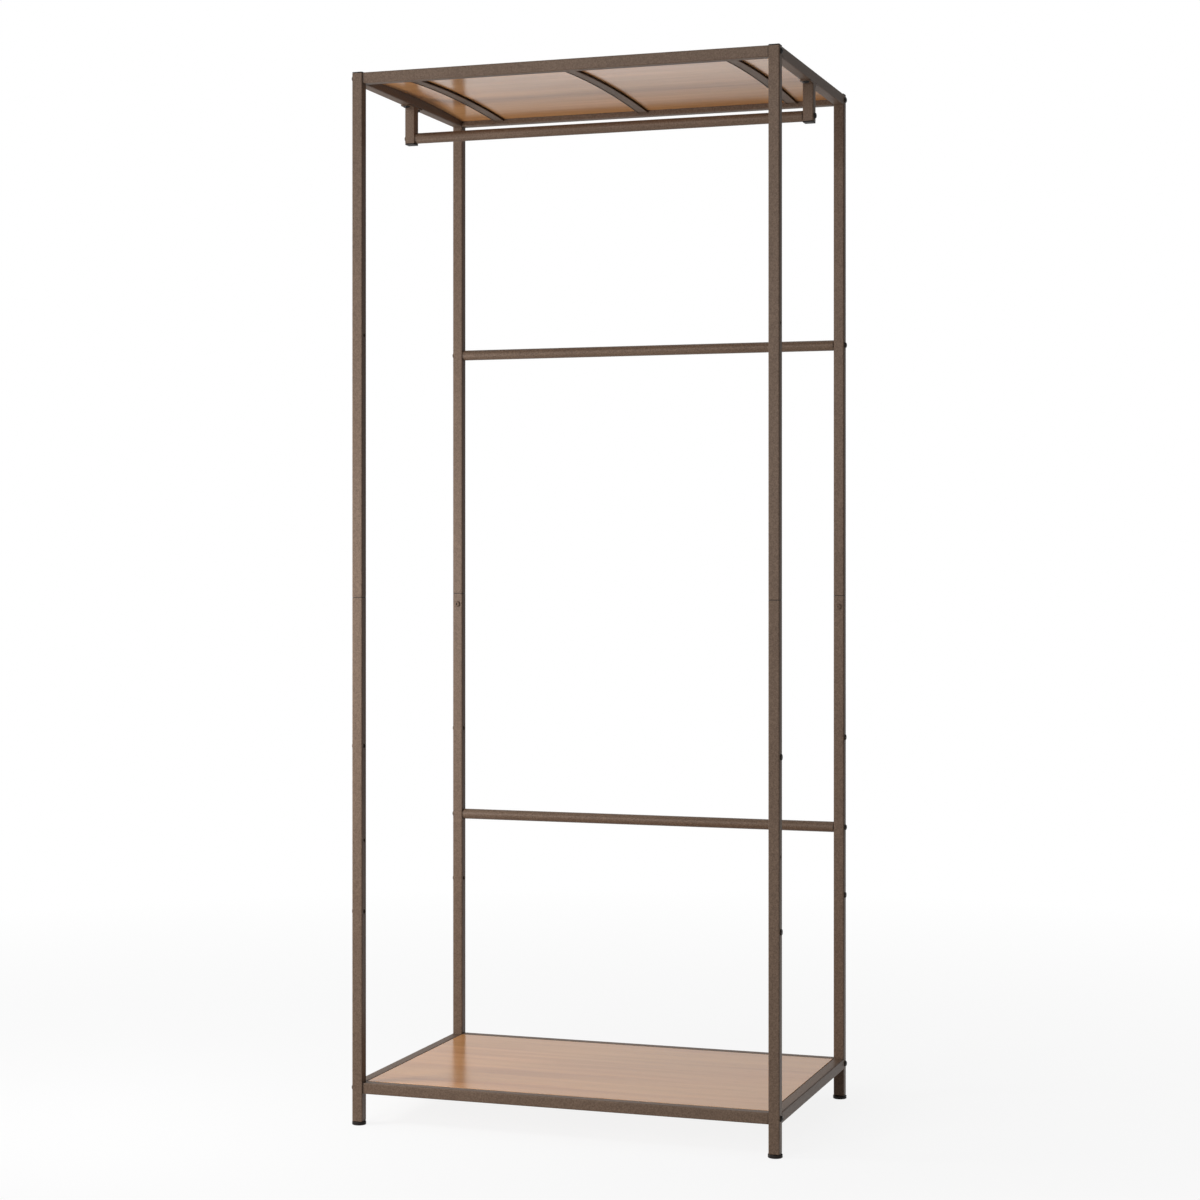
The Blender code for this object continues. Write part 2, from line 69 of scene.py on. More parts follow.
# %% Camera
camera_data = bpy.data.cameras.new("camera")
camera_data.lens = 76.54
camera_data.sensor_width = 36.0
camera_data.shift_x = 0.0464
camera_data.shift_y = -0.0392
camera = bpy.data.objects.new("camera", camera_data)
camera.location = (1.39302, -4.32670, 0.99357)
camera.rotation_euler = (QUARTER_TURN, 0, math.radians(19.2106))
scene.collection.objects.link(camera)
scene.camera = camera
print("camera height:", round(camera.location.z, 3), "m")

# %% [markdown]
# ## Small helpers for node trees
#
# Shaders and Geometry Nodes are both trees of nodes. One helper adds a node, sets its options and
# connects or fills its inputs, so that each tree below reads like a recipe, and short names stand
# for the sums and vectors that come up most often.


# %% Node helpers
def fill(tree, node, feeds):
    """Fills some of a node's inputs. Each feed is a value or the output of another node."""
    for key, value in feeds.items():
        if isinstance(value, bpy.types.NodeSocket):
            tree.links.new(value, node.inputs[key])
        else:
            node.inputs[key].default_value = value


def add(tree, kind, feeds=None, **settings):
    """One node with its settings and its inputs."""
    node = tree.nodes.new(kind)
    for key, value in settings.items():
        setattr(node, key, value)
    fill(tree, node, feeds or {})
    return node


def made(tree, kind, feeds=None, **settings):
    """The first output of a new node."""
    return add(tree, kind, feeds, **settings).outputs[0]


def math_node(tree, operation, first, second=0.0):
    return made(tree, "ShaderNodeMath", {0: first, 1: second}, operation=operation)


def times(tree, first, second):
    return math_node(tree, "MULTIPLY", first, second)


def minus(tree, first, second):
    return math_node(tree, "SUBTRACT", first, second)


def larger(tree, first, second):
    return math_node(tree, "MAXIMUM", first, second)


def vector(tree, **parts):
    return made(tree, "ShaderNodeCombineXYZ", parts)


def axes(tree, points):
    """The X, Y and Z of a vector."""
    return add(tree, "ShaderNodeSeparateXYZ", {0: points}).outputs


print("node helpers ready")

# %% [markdown]
# ## Geometry Nodes as a workshop
#
# A Geometry Nodes tree is a rule for a shape. Each tree here has named inputs for its sizes and a
# material, and ends in real geometry. To use one, an empty object gets it as a modifier, the inputs
# are set, and the result is taken off as a plain mesh, so that nothing live is left in the scene.

# %% Tree helpers
MERGE_DISTANCE = 0.000001


def new_tree(title, floats, **others):
    """An empty tree. Its sizes are named in one string, other inputs come with their kinds.

    Returns the tree, its inputs and its output node.
    """
    tree = bpy.data.node_groups.new(title, "GeometryNodeTree")
    kinds = {**dict.fromkeys(floats.split(), "Float"), **others, "Material": "Material"}
    for label, kind in kinds.items():
        tree.interface.new_socket(label, in_out="INPUT", socket_type="NodeSocket" + kind)
    tree.interface.new_socket("Geometry", in_out="OUTPUT", socket_type="NodeSocketGeometry")
    return tree, tree.nodes.new("NodeGroupInput").outputs, tree.nodes.new("NodeGroupOutput")


def thickened(tree, face, offset):
    """A closed solid: the walls of a face pushed along an offset, and the face turned over."""
    push = {"Mesh": face, "Offset": offset, "Individual": False}
    both = add(tree, "GeometryNodeJoinGeometry")
    for part in (
        made(tree, "GeometryNodeExtrudeMesh", push, mode="FACES"),
        made(tree, "GeometryNodeFlipFaces", {"Mesh": face}),
    ):
        tree.links.new(part, both.inputs[0])
    feeds = {"Geometry": both.outputs[0], "Distance": MERGE_DISTANCE}
    return made(tree, "GeometryNodeMergeByDistance", feeds)


def geometry_of(tree, thing):
    return add(tree, "GeometryNodeObjectInfo", {"Object": thing}).outputs["Geometry"]


def shifted(tree, geometry, offset):
    return made(tree, "GeometryNodeTransform", {"Geometry": geometry, "Translation": offset})


def close_tree(tree, geometry, size, out):
    """Ends a tree the way the export needs it: real geometry with a material."""
    real = made(tree, "GeometryNodeRealizeInstances", {"Geometry": geometry})
    painted = made(tree, "GeometryNodeSetMaterial", {"Geometry": real, "Material": size["Material"]})
    tree.links.new(painted, out.inputs[0])
    print(tree.name, "has", len(tree.nodes), "nodes")
    return tree


# %% Mesh helpers
def plain_mesh(name, points, edges=(), faces=()):
    mesh = bpy.data.meshes.new(name)
    mesh.from_pydata(points, edges, faces)
    return mesh


def show(name, mesh):
    obj = bpy.data.objects.new(name, mesh)
    scene.collection.objects.link(obj)
    return obj


def discard(*objects):
    for obj in objects:
        bpy.data.objects.remove(obj, do_unlink=True)


def evaluated_mesh(obj):
    """The mesh an object has after its modifiers. The object is then removed."""
    bpy.context.view_layer.update()
    graph = bpy.context.evaluated_depsgraph_get()
    mesh = bpy.data.meshes.new_from_object(obj.evaluated_get(graph))
    discard(obj)
    return mesh


def grown(tree, material, **values):
    """Runs a tree once. Inputs are set by their identifiers before the first evaluation."""
    values["Material"] = material
    holder = show("holder", bpy.data.meshes.new("holder"))
    modifier = holder.modifiers.new("grow", "NODES")
    modifier.node_group = tree
    for item in tree.interface.items_tree:
        if item.item_type == "SOCKET" and item.in_out == "INPUT":
            modifier[item.identifier] = values[item.name]
    mesh = evaluated_mesh(holder)
    mesh.materials.clear()
    mesh.materials.append(material)
    mesh.polygons.foreach_set("material_index", [0] * len(mesh.polygons))
    return mesh


print("tree and mesh helpers ready")

# %% [markdown]
# ## Finishes
#
# Every finish reads Object coordinates. The pieces sit unturned at the origin, so these are simply
# metres in the room, and a grain runs on from one piece to the next of the same stock.


# %% Shader helpers
def new_material(name):
    material = bpy.data.materials.new(name)
    material.use_nodes = True
    tree = material.node_tree
    return material, tree, tree.nodes["Principled BSDF"]


def here(tree):
    """A point's own place, in metres."""
    return add(tree, "ShaderNodeTexCoord").outputs["Object"]


def noise(tree, points, scale, detail=2.0, roughness=0.5):
    feeds = {"Vector": points, "Scale": scale, "Detail": detail, "Roughness": roughness}
    return add(tree, "ShaderNodeTexNoise", feeds).outputs["Fac"]


def blend(tree, factor, first, second, mode="MIX"):
    """Mixes two colours, given as colours or as outputs."""
    feeds = {0: factor, 6: first, 7: second}
    return add(tree, "ShaderNodeMix", feeds, data_type="RGBA", blend_type=mode).outputs[2]


def spread(tree, value, low, high, to_low=0.0, to_high=1.0):
    """Maps low..high to to_low..to_high, and stays level outside."""
    feeds = {"Value": value, "From Min": low, "From Max": high, "To Min": to_low, "To Max": to_high}
    return made(tree, "ShaderNodeMapRange", feeds)


def bump(tree, height, strength, distance):
    return made(tree, "ShaderNodeBump", {"Height": height, "Strength": strength, "Distance": distance})


def rgb(red, green, blue):
    return (red, green, blue, 1.0)


WHITE = rgb(1.0, 1.0, 1.0)
print("shader helpers ready")

# %% [markdown]
# ## Powder coat
#
# The steel is sprayed with dry powder and baked. The melt leaves a fine orange peel, and a bronze
# coat of this kind carries darker and lighter grains that read as a soft speckle. Two noises, one a
# millimetre or two across and one finer, give the speckle, a very broad one gives the slight
# unevenness of a long tube, and the same grains drive the bump and the gloss. Shade is painted into
# the colour in two places: a dark band in the corners where a rail runs into a post, and a fine dark
# line along the eased edges where an upper post stands on a lower one, for the shadow in that seam.


# %% Powder coat
POST_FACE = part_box("top_side_rail_right")[0].x
SEAM_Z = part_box("lower_post_front_left")[1].z
DARK_BRONZE = rgb(0.088, 0.055, 0.037)
LIGHT_BRONZE = rgb(0.205, 0.137, 0.094)
# Colour of the painted shade in the rail corners and at the posts' seam.
PAINTED_JOINT_SHADE = rgb(0.030, 0.018, 0.012)


def powder_coat():
    material, tree, shader = new_material("powder_coat")
    place = here(tree)
    grain = noise(tree, place, 420.0, 3.0, 0.65)
    speck = noise(tree, place, 1500.0, 2.0, 0.6)
    cloud = noise(tree, place, 7.0)
    mixed = math_node(tree, "ADD", times(tree, grain, 0.6), times(tree, speck, 0.4))
    base = blend(tree, spread(tree, mixed, 0.36, 0.64), DARK_BRONZE, LIGHT_BRONZE)
    worn = blend(tree, spread(tree, cloud, 0.3, 0.7), rgb(0.94, 0.93, 0.92), WHITE)
    coated = blend(tree, 1.0, base, worn, "MULTIPLY")
    along = axes(tree, place)
    to_post = minus(tree, POST_FACE, math_node(tree, "ABSOLUTE", along["X"]))
    before_post = math_node(tree, "GREATER_THAN", to_post, 0.0)
    # Painted shade: a rail's end darkens within 3 mm of the post it runs into.
    corner = times(tree, spread(tree, to_post, 0.0008, 0.003, 0.65, 0.0), before_post)
    to_seam = math_node(tree, "ABSOLUTE", minus(tree, along["Z"], SEAM_Z))
    # Painted shade: a fine dark line round the posts at their seam, joined with the corner band.
    painted_shade = larger(tree, corner, spread(tree, to_seam, 0.0005, 0.0011, 0.95, 0.0))
    finish = {
        "Base Color": blend(tree, painted_shade, coated, PAINTED_JOINT_SHADE),
        "Roughness": spread(tree, speck, 0.3, 0.7, 0.40, 0.56),
        "Metallic": 0.05,
        "Specular IOR Level": 0.20,
        "Normal": bump(tree, mixed, 0.35, 0.0003),
    }
    fill(tree, shader, finish)
    return material


POWDER_COAT = powder_coat()
print("made", POWDER_COAT.name)

# %% [markdown]
# ## Wood-look boards
#
# Each board is pressed fibreboard under a printed, lacquered wood foil with its grain along the
# rack's width. Long thin noises make the fibres, wider ones make the golden and the pale streaks,
# and a few dark pores follow the same direction. The lacquer is smooth, so posts and rods mirror
# softly in it at a flat angle. Beside each slat the underside carries a thin painted shade, darkest
# where the board meets the slat.


# %% Wood foil
SLAT_WIDTH = 0.019
SLAT_SPACING = 0.285
# Width of the painted shade beside each slat.
SLAT_SHADE_WIDTH = 0.0018
BROWN_STREAK = rgb(0.500, 0.208, 0.070)
GOLDEN_STREAK = rgb(0.725, 0.345, 0.132)
PALE_FIBRE = rgb(0.770, 0.385, 0.154)
CLOUD = rgb(0.660, 0.340, 0.126)
PORE = rgb(0.190, 0.085, 0.032)
# Colour of the painted shade beside each slat.
PAINTED_SLAT_SHADE = rgb(0.085, 0.045, 0.022)


def grain_noise(tree, points, along, across, detail=2.0, roughness=0.5):
    """Noise drawn out along X, with one scale along the grain and another across it."""
    drawn = made(tree, "ShaderNodeMapping", {"Vector": points, "Scale": (along, across, across)})
    return noise(tree, drawn, 1.0, detail, roughness)


def wood_foil():
    material, tree, shader = new_material("wood_foil")
    place = here(tree)
    warp = grain_noise(tree, place, 2.2, 6.0)
    sway = vector(tree, Y=spread(tree, warp, 0.0, 1.0, -0.010, 0.010))
    bent = made(tree, "ShaderNodeVectorMath", {0: place, 1: sway}, operation="ADD")
    streaks = grain_noise(tree, bent, 1.6, 30.0, 4.0, 0.55)
    fibres = grain_noise(tree, bent, 9.0, 520.0, 3.0, 0.6)
    pores = grain_noise(tree, bent, 26.0, 900.0, 1.0)
    clouds = grain_noise(tree, place, 2.6, 9.0)
    base = blend(tree, spread(tree, streaks, 0.33, 0.67), BROWN_STREAK, GOLDEN_STREAK)
    fibred = blend(tree, spread(tree, fibres, 0.35, 0.65, 0.0, 0.35), base, PALE_FIBRE)
    clouded = blend(tree, spread(tree, clouds, 0.38, 0.62, 0.0, 0.5), fibred, CLOUD)
    marked = blend(tree, spread(tree, pores, 0.62, 0.74, 0.0, 0.35), clouded, PORE)
    across = math_node(tree, "ABSOLUTE", axes(tree, place)["X"])
    to_slat = math_node(tree, "PINGPONG", across, SLAT_SPACING / 2)
    beside = minus(tree, to_slat, SLAT_WIDTH / 2)
    facing = add(tree, "ShaderNodeNewGeometry").outputs["True Normal"]
    under = math_node(tree, "LESS_THAN", axes(tree, facing)["Z"], -0.5)
    # Painted shade on the underside only, darkest at a slat's edge.
    slat_shade = times(tree, spread(tree, beside, 0.0, SLAT_SHADE_WIDTH, 0.9, 0.0), under)
    finish = {
        "Base Color": blend(tree, slat_shade, marked, PAINTED_SLAT_SHADE),
        "Roughness": spread(tree, fibres, 0.3, 0.7, 0.17, 0.25),
        "IOR": 1.5,
        "Normal": bump(tree, fibres, 0.08, 0.0002),
    }
    fill(tree, shader, finish)
    return material


WOOD_FOIL = wood_foil()
print("made", WOOD_FOIL.name)

# %% [markdown]
# ## Black screws, black plastic and plated threads
#
# The screws are blackened steel with a thin film of oil, the caps, plugs and foot pads are moulded
# plastic with a fine spark-eroded grain, and the levelling threads are zinc plated. The three share
# one recipe with other numbers: two tones, a grain size, a range of gloss and a bump.


# %% Grained finishes
SMEAR_BREADTH = 12


def grained(name, dark, light, size, gloss, metallic, strength, mirror=0.5):
    material, tree, shader = new_material(name)
    place = here(tree)
    grain = noise(tree, place, size, 3.0, 0.6)
    smear = noise(tree, place, size / SMEAR_BREADTH)
    finish = {
        "Base Color": blend(tree, spread(tree, grain, 0.35, 0.65), rgb(*dark), rgb(*light)),
        "Roughness": spread(tree, smear, 0.3, 0.7, *gloss),
        "Metallic": metallic,
        "Specular IOR Level": mirror,
        "Normal": bump(tree, grain, strength, 0.0002),
    }
    fill(tree, shader, finish)
    print("made", material.name)
    return material


BLACK_SCREW = grained(
    "black_oxide", (0.012, 0.011, 0.011), (0.030, 0.027, 0.025), 900.0, (0.26, 0.42), 0.75, 0.15
)
BLACK_PLASTIC = grained(
    "moulded_plastic", (0.010, 0.007, 0.006), (0.026, 0.020, 0.016), 1300.0, (0.36, 0.54), 0.0, 0.30, 0.18
)
PLATED_STEEL = grained(
    "zinc_plating", (0.42, 0.42, 0.40), (0.66, 0.65, 0.60), 600.0, (0.22, 0.40), 1.0, 0.10
)

# %% [markdown]
# ## Where things are
#
# The frame's own boxes give the tube's size, the posts' places and the heights of rails and rods.
# What a box can't tell, such as a wall or a hole, gets a name here or where it is first needed.

# %% Sizes read from the frame
upper_low, upper_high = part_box("upper_post_front_left")
TUBE = upper_high.x - upper_low.x
HALF_TUBE = TUBE / 2
POST_X = -(upper_low.x + upper_high.x) / 2
POST_Y = -(upper_low.y + upper_high.y) / 2
POST_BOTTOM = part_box("lower_post_front_left")[0].z
POST_TOP = upper_high.z
RACK_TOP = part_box("top_cap_front_left")[1].z
HALF_WIDTH = POST_X + HALF_TUBE


def middle(node):
    low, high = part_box(node)
    return (low + high) / 2


TOP_RAIL_Z = middle("top_side_rail_left").z
BOTTOM_RAIL_Z = middle("bottom_side_rail_left").z
HANGING_ROD_Z = middle("hanging_rod").z
UPPER_ROD_Z = middle("upper_back_rod").z
LOWER_ROD_Z = middle("lower_back_rod").z
JOINT_SCREW_Z = middle("joint_screw_front_left").z
print("tube", round(TUBE * 1000, 2), "mm; posts at", round(POST_X, 4), round(POST_Y, 4))

# %% Stock sizes and corners
GAP = 0.0003
WALL = 0.0012
BORE = TUBE - 2 * WALL
TUBE_CORNER = 0.002
SCREW_DIAMETER = 0.006
SCREW_HOLE = SCREW_DIAMETER + 2 * GAP
CORNERS = {
    "front_left": (-1, -1),
    "front_right": (1, -1),
    "back_left": (-1, 1),
    "back_right": (1, 1),
}
SIDES = {"left": (-1, 0), "right": (1, 0)}
print("bore", round(BORE * 1000, 2), "mm; screw holes", round(SCREW_HOLE * 1000, 2), "mm")

# %% [markdown]
# ## Square tube, grown by a rule
#
# All the square stock is the same thing: a rounded square pushed along a line. That is a rule, so a
# Geometry Nodes tree makes it: a quadrilateral curve, its corners filleted, filled, and extruded.
# The tree makes solid bars, and a bar cut out of a bar is a tube with a real wall.


# %% The bar tree
def bar_tree():
    tree, size, out = new_tree("square_bar", "Width Depth Corner Low High", Steps="Int")
    square = {"Width": size["Width"], "Height": size["Depth"]}
    outline = made(tree, "GeometryNodeCurvePrimitiveQuadrilateral", square)
    fillet = {"Curve": outline, "Count": size["Steps"], "Radius": size["Corner"]}
    rounded = made(tree, "GeometryNodeFilletCurve", fillet, mode="POLY")
    face = made(tree, "GeometryNodeFillCurve", {"Curve": rounded}, mode="NGONS")
    rise = vector(tree, Z=minus(tree, size["High"], size["Low"]))
    placed = shifted(tree, thickened(tree, face, rise), vector(tree, Z=size["Low"]))
    return close_tree(tree, placed, size, out)


BAR_TREE = bar_tree()
CORNER_STEPS = 6


# %% Bars
def outward(mesh):
    """Turns the faces of closed shells outwards."""
    bm = bmesh.new()
    bm.from_mesh(mesh)
    bmesh.ops.recalc_face_normals(bm, faces=bm.faces)
    bm.to_mesh(mesh)
    bm.free()
    return mesh


def bar(width, depth, low, high, corner=0.0, material=POWDER_COAT):
    """A solid bar along Z, centred on the axis."""
    steps = CORNER_STEPS if corner else 1
    section = {"Width": width, "Depth": depth, "Corner": corner, "Steps": steps}
    return outward(grown(BAR_TREE, material, Low=low, High=high, **section))


def stock(low, high):
    """A length of the rack's square tube, still solid."""
    return bar(TUBE, TUBE, low, high, TUBE_CORNER)


def bore(low, high):
    """What is cut out of the stock to leave its wall."""
    return bar(BORE, BORE, low, high, TUBE_CORNER - WALL)


trial = stock(0.0, 0.1)
print("a bar has", len(trial.vertices), "points and", len(trial.polygons), "faces")

# %% [markdown]
# ## Turning, cutting and joining
#
# Round things are turned: an outline of radii and heights is swept round the axis. Holes and bores
# are cut with exact Booleans from closed solids. At the end a weighted-normal pass keeps the flats
# flat and lets only the rounded corners shade softly, as rolled tube does.


# %% Turned pieces
def finished(bm, name):
    """Writes an edited mesh out under a name."""
    mesh = bpy.data.meshes.new(name)
    bm.to_mesh(mesh)
    bm.free()
    return mesh


def quarter(steps):
    """The angles of a quarter turn in even steps."""
    return [QUARTER_TURN * step / steps for step in range(steps + 1)]


def turned(outline, steps, closed=False, material=POWDER_COAT):
    """A solid turned about Z. The outline runs down the outer side; a point on the axis stays single."""
    bm = bmesh.new()
    angles = [FULL_TURN * step / steps for step in range(steps)]
    rings = []
    for radius, height in outline:
        spots = [(radius * math.cos(a), radius * math.sin(a), height) for a in angles]
        rings.append([bm.verts.new(spot) for spot in (spots if radius else [(0, 0, height)])])
    pairs = list(zip(rings, rings[1:])) + ([(rings[-1], rings[0])] if closed else [])
    for upper, lower in pairs:
        for step in range(steps):
            after = (step + 1) % steps
            loop = [upper[step % len(upper)], upper[after % len(upper)]]
            loop += [lower[after % len(lower)], lower[step % len(lower)]]
            bm.faces.new(list(dict.fromkeys(loop)))
    bmesh.ops.recalc_face_normals(bm, faces=bm.faces)
    mesh = finished(bm, "turned")
    mesh.materials.append(material)
    return mesh


def drill(diameter, length, axis="Z", centre=(0, 0, 0), steps=32):
    """A cutter for a round hole."""
    half = length / 2
    mesh = turned([(0, half), (diameter / 2, half), (diameter / 2, -half), (0, -half)], steps)
    turns = {"X": Matrix.Rotation(QUARTER_TURN, 4, "Y"), "Y": Matrix.Rotation(QUARTER_TURN, 4, "X")}
    mesh.transform(Matrix.Translation(centre) @ turns.get(axis, Matrix.Identity(4)))
    return mesh


# %% Cutting and joining
def combined(mesh, others, operation):
    """One closed mesh after exact Booleans with each of the others."""
    base = show("base", mesh)
    tools = [show("tool", other) for other in others]
    for tool in tools:
        modifier = base.modifiers.new("boolean", "BOOLEAN")
        modifier.operation = operation
        modifier.solver = "EXACT"
        modifier.object = tool
    result = evaluated_mesh(base)
    discard(*tools)
    return result


def cut(mesh, *tools):
    return combined(mesh, tools, "DIFFERENCE")


def fused(mesh, *others):
    return combined(mesh, others, "UNION")


def joined(*meshes):
    """Several shells in one mesh, with the first one's material."""
    bm = bmesh.new()
    for mesh in meshes:
        bm.from_mesh(mesh)
    result = finished(bm, "joined")
    for face in result.polygons:
        face.material_index = 0
    result.materials.append(meshes[0].materials[0])
    return result


# %% Edges and shading
def bevelled(mesh, width, segments=3, angle=40):
    holder = show("holder", mesh)
    bevel = holder.modifiers.new("bevel", "BEVEL")
    bevel.width = width
    bevel.segments = segments
    bevel.limit_method = "ANGLE"
    bevel.angle_limit = math.radians(angle)
    return evaluated_mesh(holder)


def shaded(mesh, angle=32):
    """Soft shading with flats kept flat."""
    mesh.shade_smooth()
    mesh.set_sharp_from_angle(angle=math.radians(angle))
    holder = show("holder", mesh)
    weights = holder.modifiers.new("weights", "WEIGHTED_NORMAL")
    weights.keep_sharp = True
    weights.mode = "FACE_AREA"
    return evaluated_mesh(holder)


# %% Placing
def moved(mesh, x=0.0, y=0.0, z=0.0, turn=0.0):
    """A copy of a mesh, turned about Z and then moved."""
    copy = mesh.copy()
    copy.transform(Matrix.Translation((x, y, z)) @ Matrix.Rotation(turn, 4, "Z"))
    return copy


pieces = []


def piece(name, mesh, body, slot, *nodes):
    """A finished piece: it rides on its body and stands for its CAD nodes. The slot is not used."""
    mesh.name = name
    obj = show(name, mesh)
    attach(obj, body)
    if nodes:
        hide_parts(*nodes)
    pieces.append(obj)


def copied(spots, title, mesh, slot, node, back_turn=0.0):
    """A copy of a piece at each corner or side of the frame, with those at the back turned."""
    for spot, (side_x, side_y) in spots.items():
        turn = back_turn if side_y > 0 else 0.0
        placed = moved(mesh, side_x * POST_X, side_y * POST_Y, 0.0, turn)
        piece(title + spot, placed, "frame", slot, node + spot)
    print(title + "...:", len(mesh.polygons), "faces each")


print("turning, cutting, shading and placing ready")

# %% [markdown]
# ## Posts
#
# Each post is two lengths of tube, so that the carton stays short. The upper length carries a
# smaller square spigot that slides into the lower one, and a screw from the inside locks the two.
# The rails' screws pass through from the outer faces. The same posts are used at the back, where
# they also hold the two rods, so the front ones show the same small holes left open.

# %% Lower posts
NUT_PLATE = 0.004
STEM_DIAMETER = 0.008
SPARE_HEIGHTS = (0.3706, 0.658)
SPARE_HOLE = 0.008
OVERRUN = 0.002
THROUGH = TUBE + 2 * OVERRUN


def side_hole(height, diameter=SCREW_HOLE):
    """A hole right through a tube from side to side."""
    return drill(diameter, THROUGH, "X", (0, 0, height))


lower_post = cut(
    stock(POST_BOTTOM, SEAM_Z),
    bore(POST_BOTTOM + NUT_PLATE, SEAM_Z + OVERRUN),
    drill(STEM_DIAMETER + 2 * GAP, NUT_PLATE + 2 * OVERRUN, "Z", (0, 0, POST_BOTTOM + NUT_PLATE / 2)),
    side_hole(BOTTOM_RAIL_Z),
    side_hole(LOWER_ROD_Z),
    drill(SCREW_HOLE, HALF_TUBE, "Y", (0, HALF_TUBE, JOINT_SCREW_Z)),
    *(side_hole(height, SPARE_HOLE) for height in SPARE_HEIGHTS),
)
copied(CORNERS, "post_tube_lower_", shaded(lower_post), "powder_coat", "lower_post_", math.pi)

# %% Upper posts
SPIGOT = BORE - 2 * GAP
SPIGOT_BORE = SPIGOT - 2 * WALL
SPIGOT_REACH = 0.030
SEAM_HIGH = SEAM_Z + GAP
SPIGOT_TOP = SEAM_HIGH + SPIGOT_REACH
BOSS_DIAMETER = 0.0095
BOSS_DEPTH = 0.006

spigot_boss_y = SPIGOT_BORE / 2 - BOSS_DEPTH / 2 + WALL / 2
upper_post = cut(
    fused(
        stock(SEAM_HIGH, POST_TOP),
        bar(SPIGOT, SPIGOT, upper_low.z, SPIGOT_TOP, TUBE_CORNER - WALL),
    ),
    bar(SPIGOT_BORE, SPIGOT_BORE, upper_low.z - OVERRUN, SPIGOT_TOP + OVERRUN),
    bore(SPIGOT_TOP, POST_TOP + OVERRUN),
)
upper_post = cut(
    fused(upper_post, drill(BOSS_DIAMETER, BOSS_DEPTH, "Y", (0, spigot_boss_y, JOINT_SCREW_Z))),
    drill(SCREW_HOLE, TUBE, "Y", (0, HALF_TUBE, JOINT_SCREW_Z)),
    side_hole(TOP_RAIL_Z),
    side_hole(UPPER_ROD_Z),
)
copied(CORNERS, "post_tube_upper_", shaded(upper_post), "powder_coat", "upper_post_", math.pi)

# %% [markdown]
# ## Side rails
#
# The rails that run from front to back are welded between the posts, so each side of the rack is a
# ladder. Those at the top have two threaded bosses inside their lower wall for the rod brackets.

# %% Side rails
rail_low, rail_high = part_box("top_side_rail_left")
RAIL_HALF = (rail_high.y - rail_low.y) / 2
BRACKET_SCREW_SPACING = 0.050
ALONG_X = Matrix.Rotation(QUARTER_TURN, 4, "Y")
ALONG_Y = Matrix.Rotation(-QUARTER_TURN, 4, "X")


def laid(mesh, turn):
    """Lays down a piece that was made upright."""
    mesh.transform(turn)
    return mesh


plain_rail = cut(
    laid(stock(-RAIL_HALF, RAIL_HALF), ALONG_Y),
    laid(bore(-RAIL_HALF - OVERRUN, RAIL_HALF + OVERRUN), ALONG_Y),
)
boss_z = -BORE / 2 + BOSS_DEPTH / 2 - WALL / 2
boss_ys = (-BRACKET_SCREW_SPACING / 2, BRACKET_SCREW_SPACING / 2)
bosses = [drill(BOSS_DIAMETER, BOSS_DEPTH, "Z", (0, y, boss_z)) for y in boss_ys]
boss_holes = [drill(SCREW_HOLE, TUBE, "Z", (0, y, -HALF_TUBE)) for y in boss_ys]
bossed_rail = cut(fused(plain_rail.copy(), *bosses), *boss_holes)
plain_rail, bossed_rail = shaded(plain_rail), shaded(bossed_rail)
rail_rows = (("top", bossed_rail, TOP_RAIL_Z), ("bottom", plain_rail, BOTTOM_RAIL_Z))
for side, (sign, _) in SIDES.items():
    for level, template, height in rail_rows:
        placed = moved(template, sign * POST_X, 0, height)
        piece(level + "_rail_tube_" + side, placed, "frame", "powder_coat", level + "_side_rail_" + side)
print("side rails:", len(plain_rail.polygons), "and", len(bossed_rail.polygons), "faces")

# %% [markdown]
# ## Shelf frames
#
# The front and the back rail of a shelf stand a little behind the posts' faces, with a threaded
# plate welded in each end for the screws. Three pressed slats run between them and carry the
# board, arched under the top shelf and straight under the bottom one. A slat is a shallow folded
# channel, so it is a section swept along an arc, once more a rule.

# %% Front and back rails
frame_low, frame_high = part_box("top_shelf_frame")
CROSS_HALF = (frame_high.x - frame_low.x) / 2
CROSS_Y = frame_high.y - HALF_TUBE
END_PLATE = 0.005

hollow_half = CROSS_HALF - END_PLATE
plate_x = CROSS_HALF - END_PLATE / 2
hole_y = POST_Y - CROSS_Y
cross_rail = cut(
    laid(stock(-CROSS_HALF, CROSS_HALF), ALONG_X),
    laid(bore(-hollow_half, hollow_half), ALONG_X),
    *(drill(SCREW_HOLE, END_PLATE + 2 * OVERRUN, "X", (x, hole_y, 0)) for x in (-plate_x, plate_x)),
)
cross_rail = shaded(cross_rail)
print("front and back rails:", len(cross_rail.polygons), "faces")

# %% Slat tree
ARCH_POINTS = 33


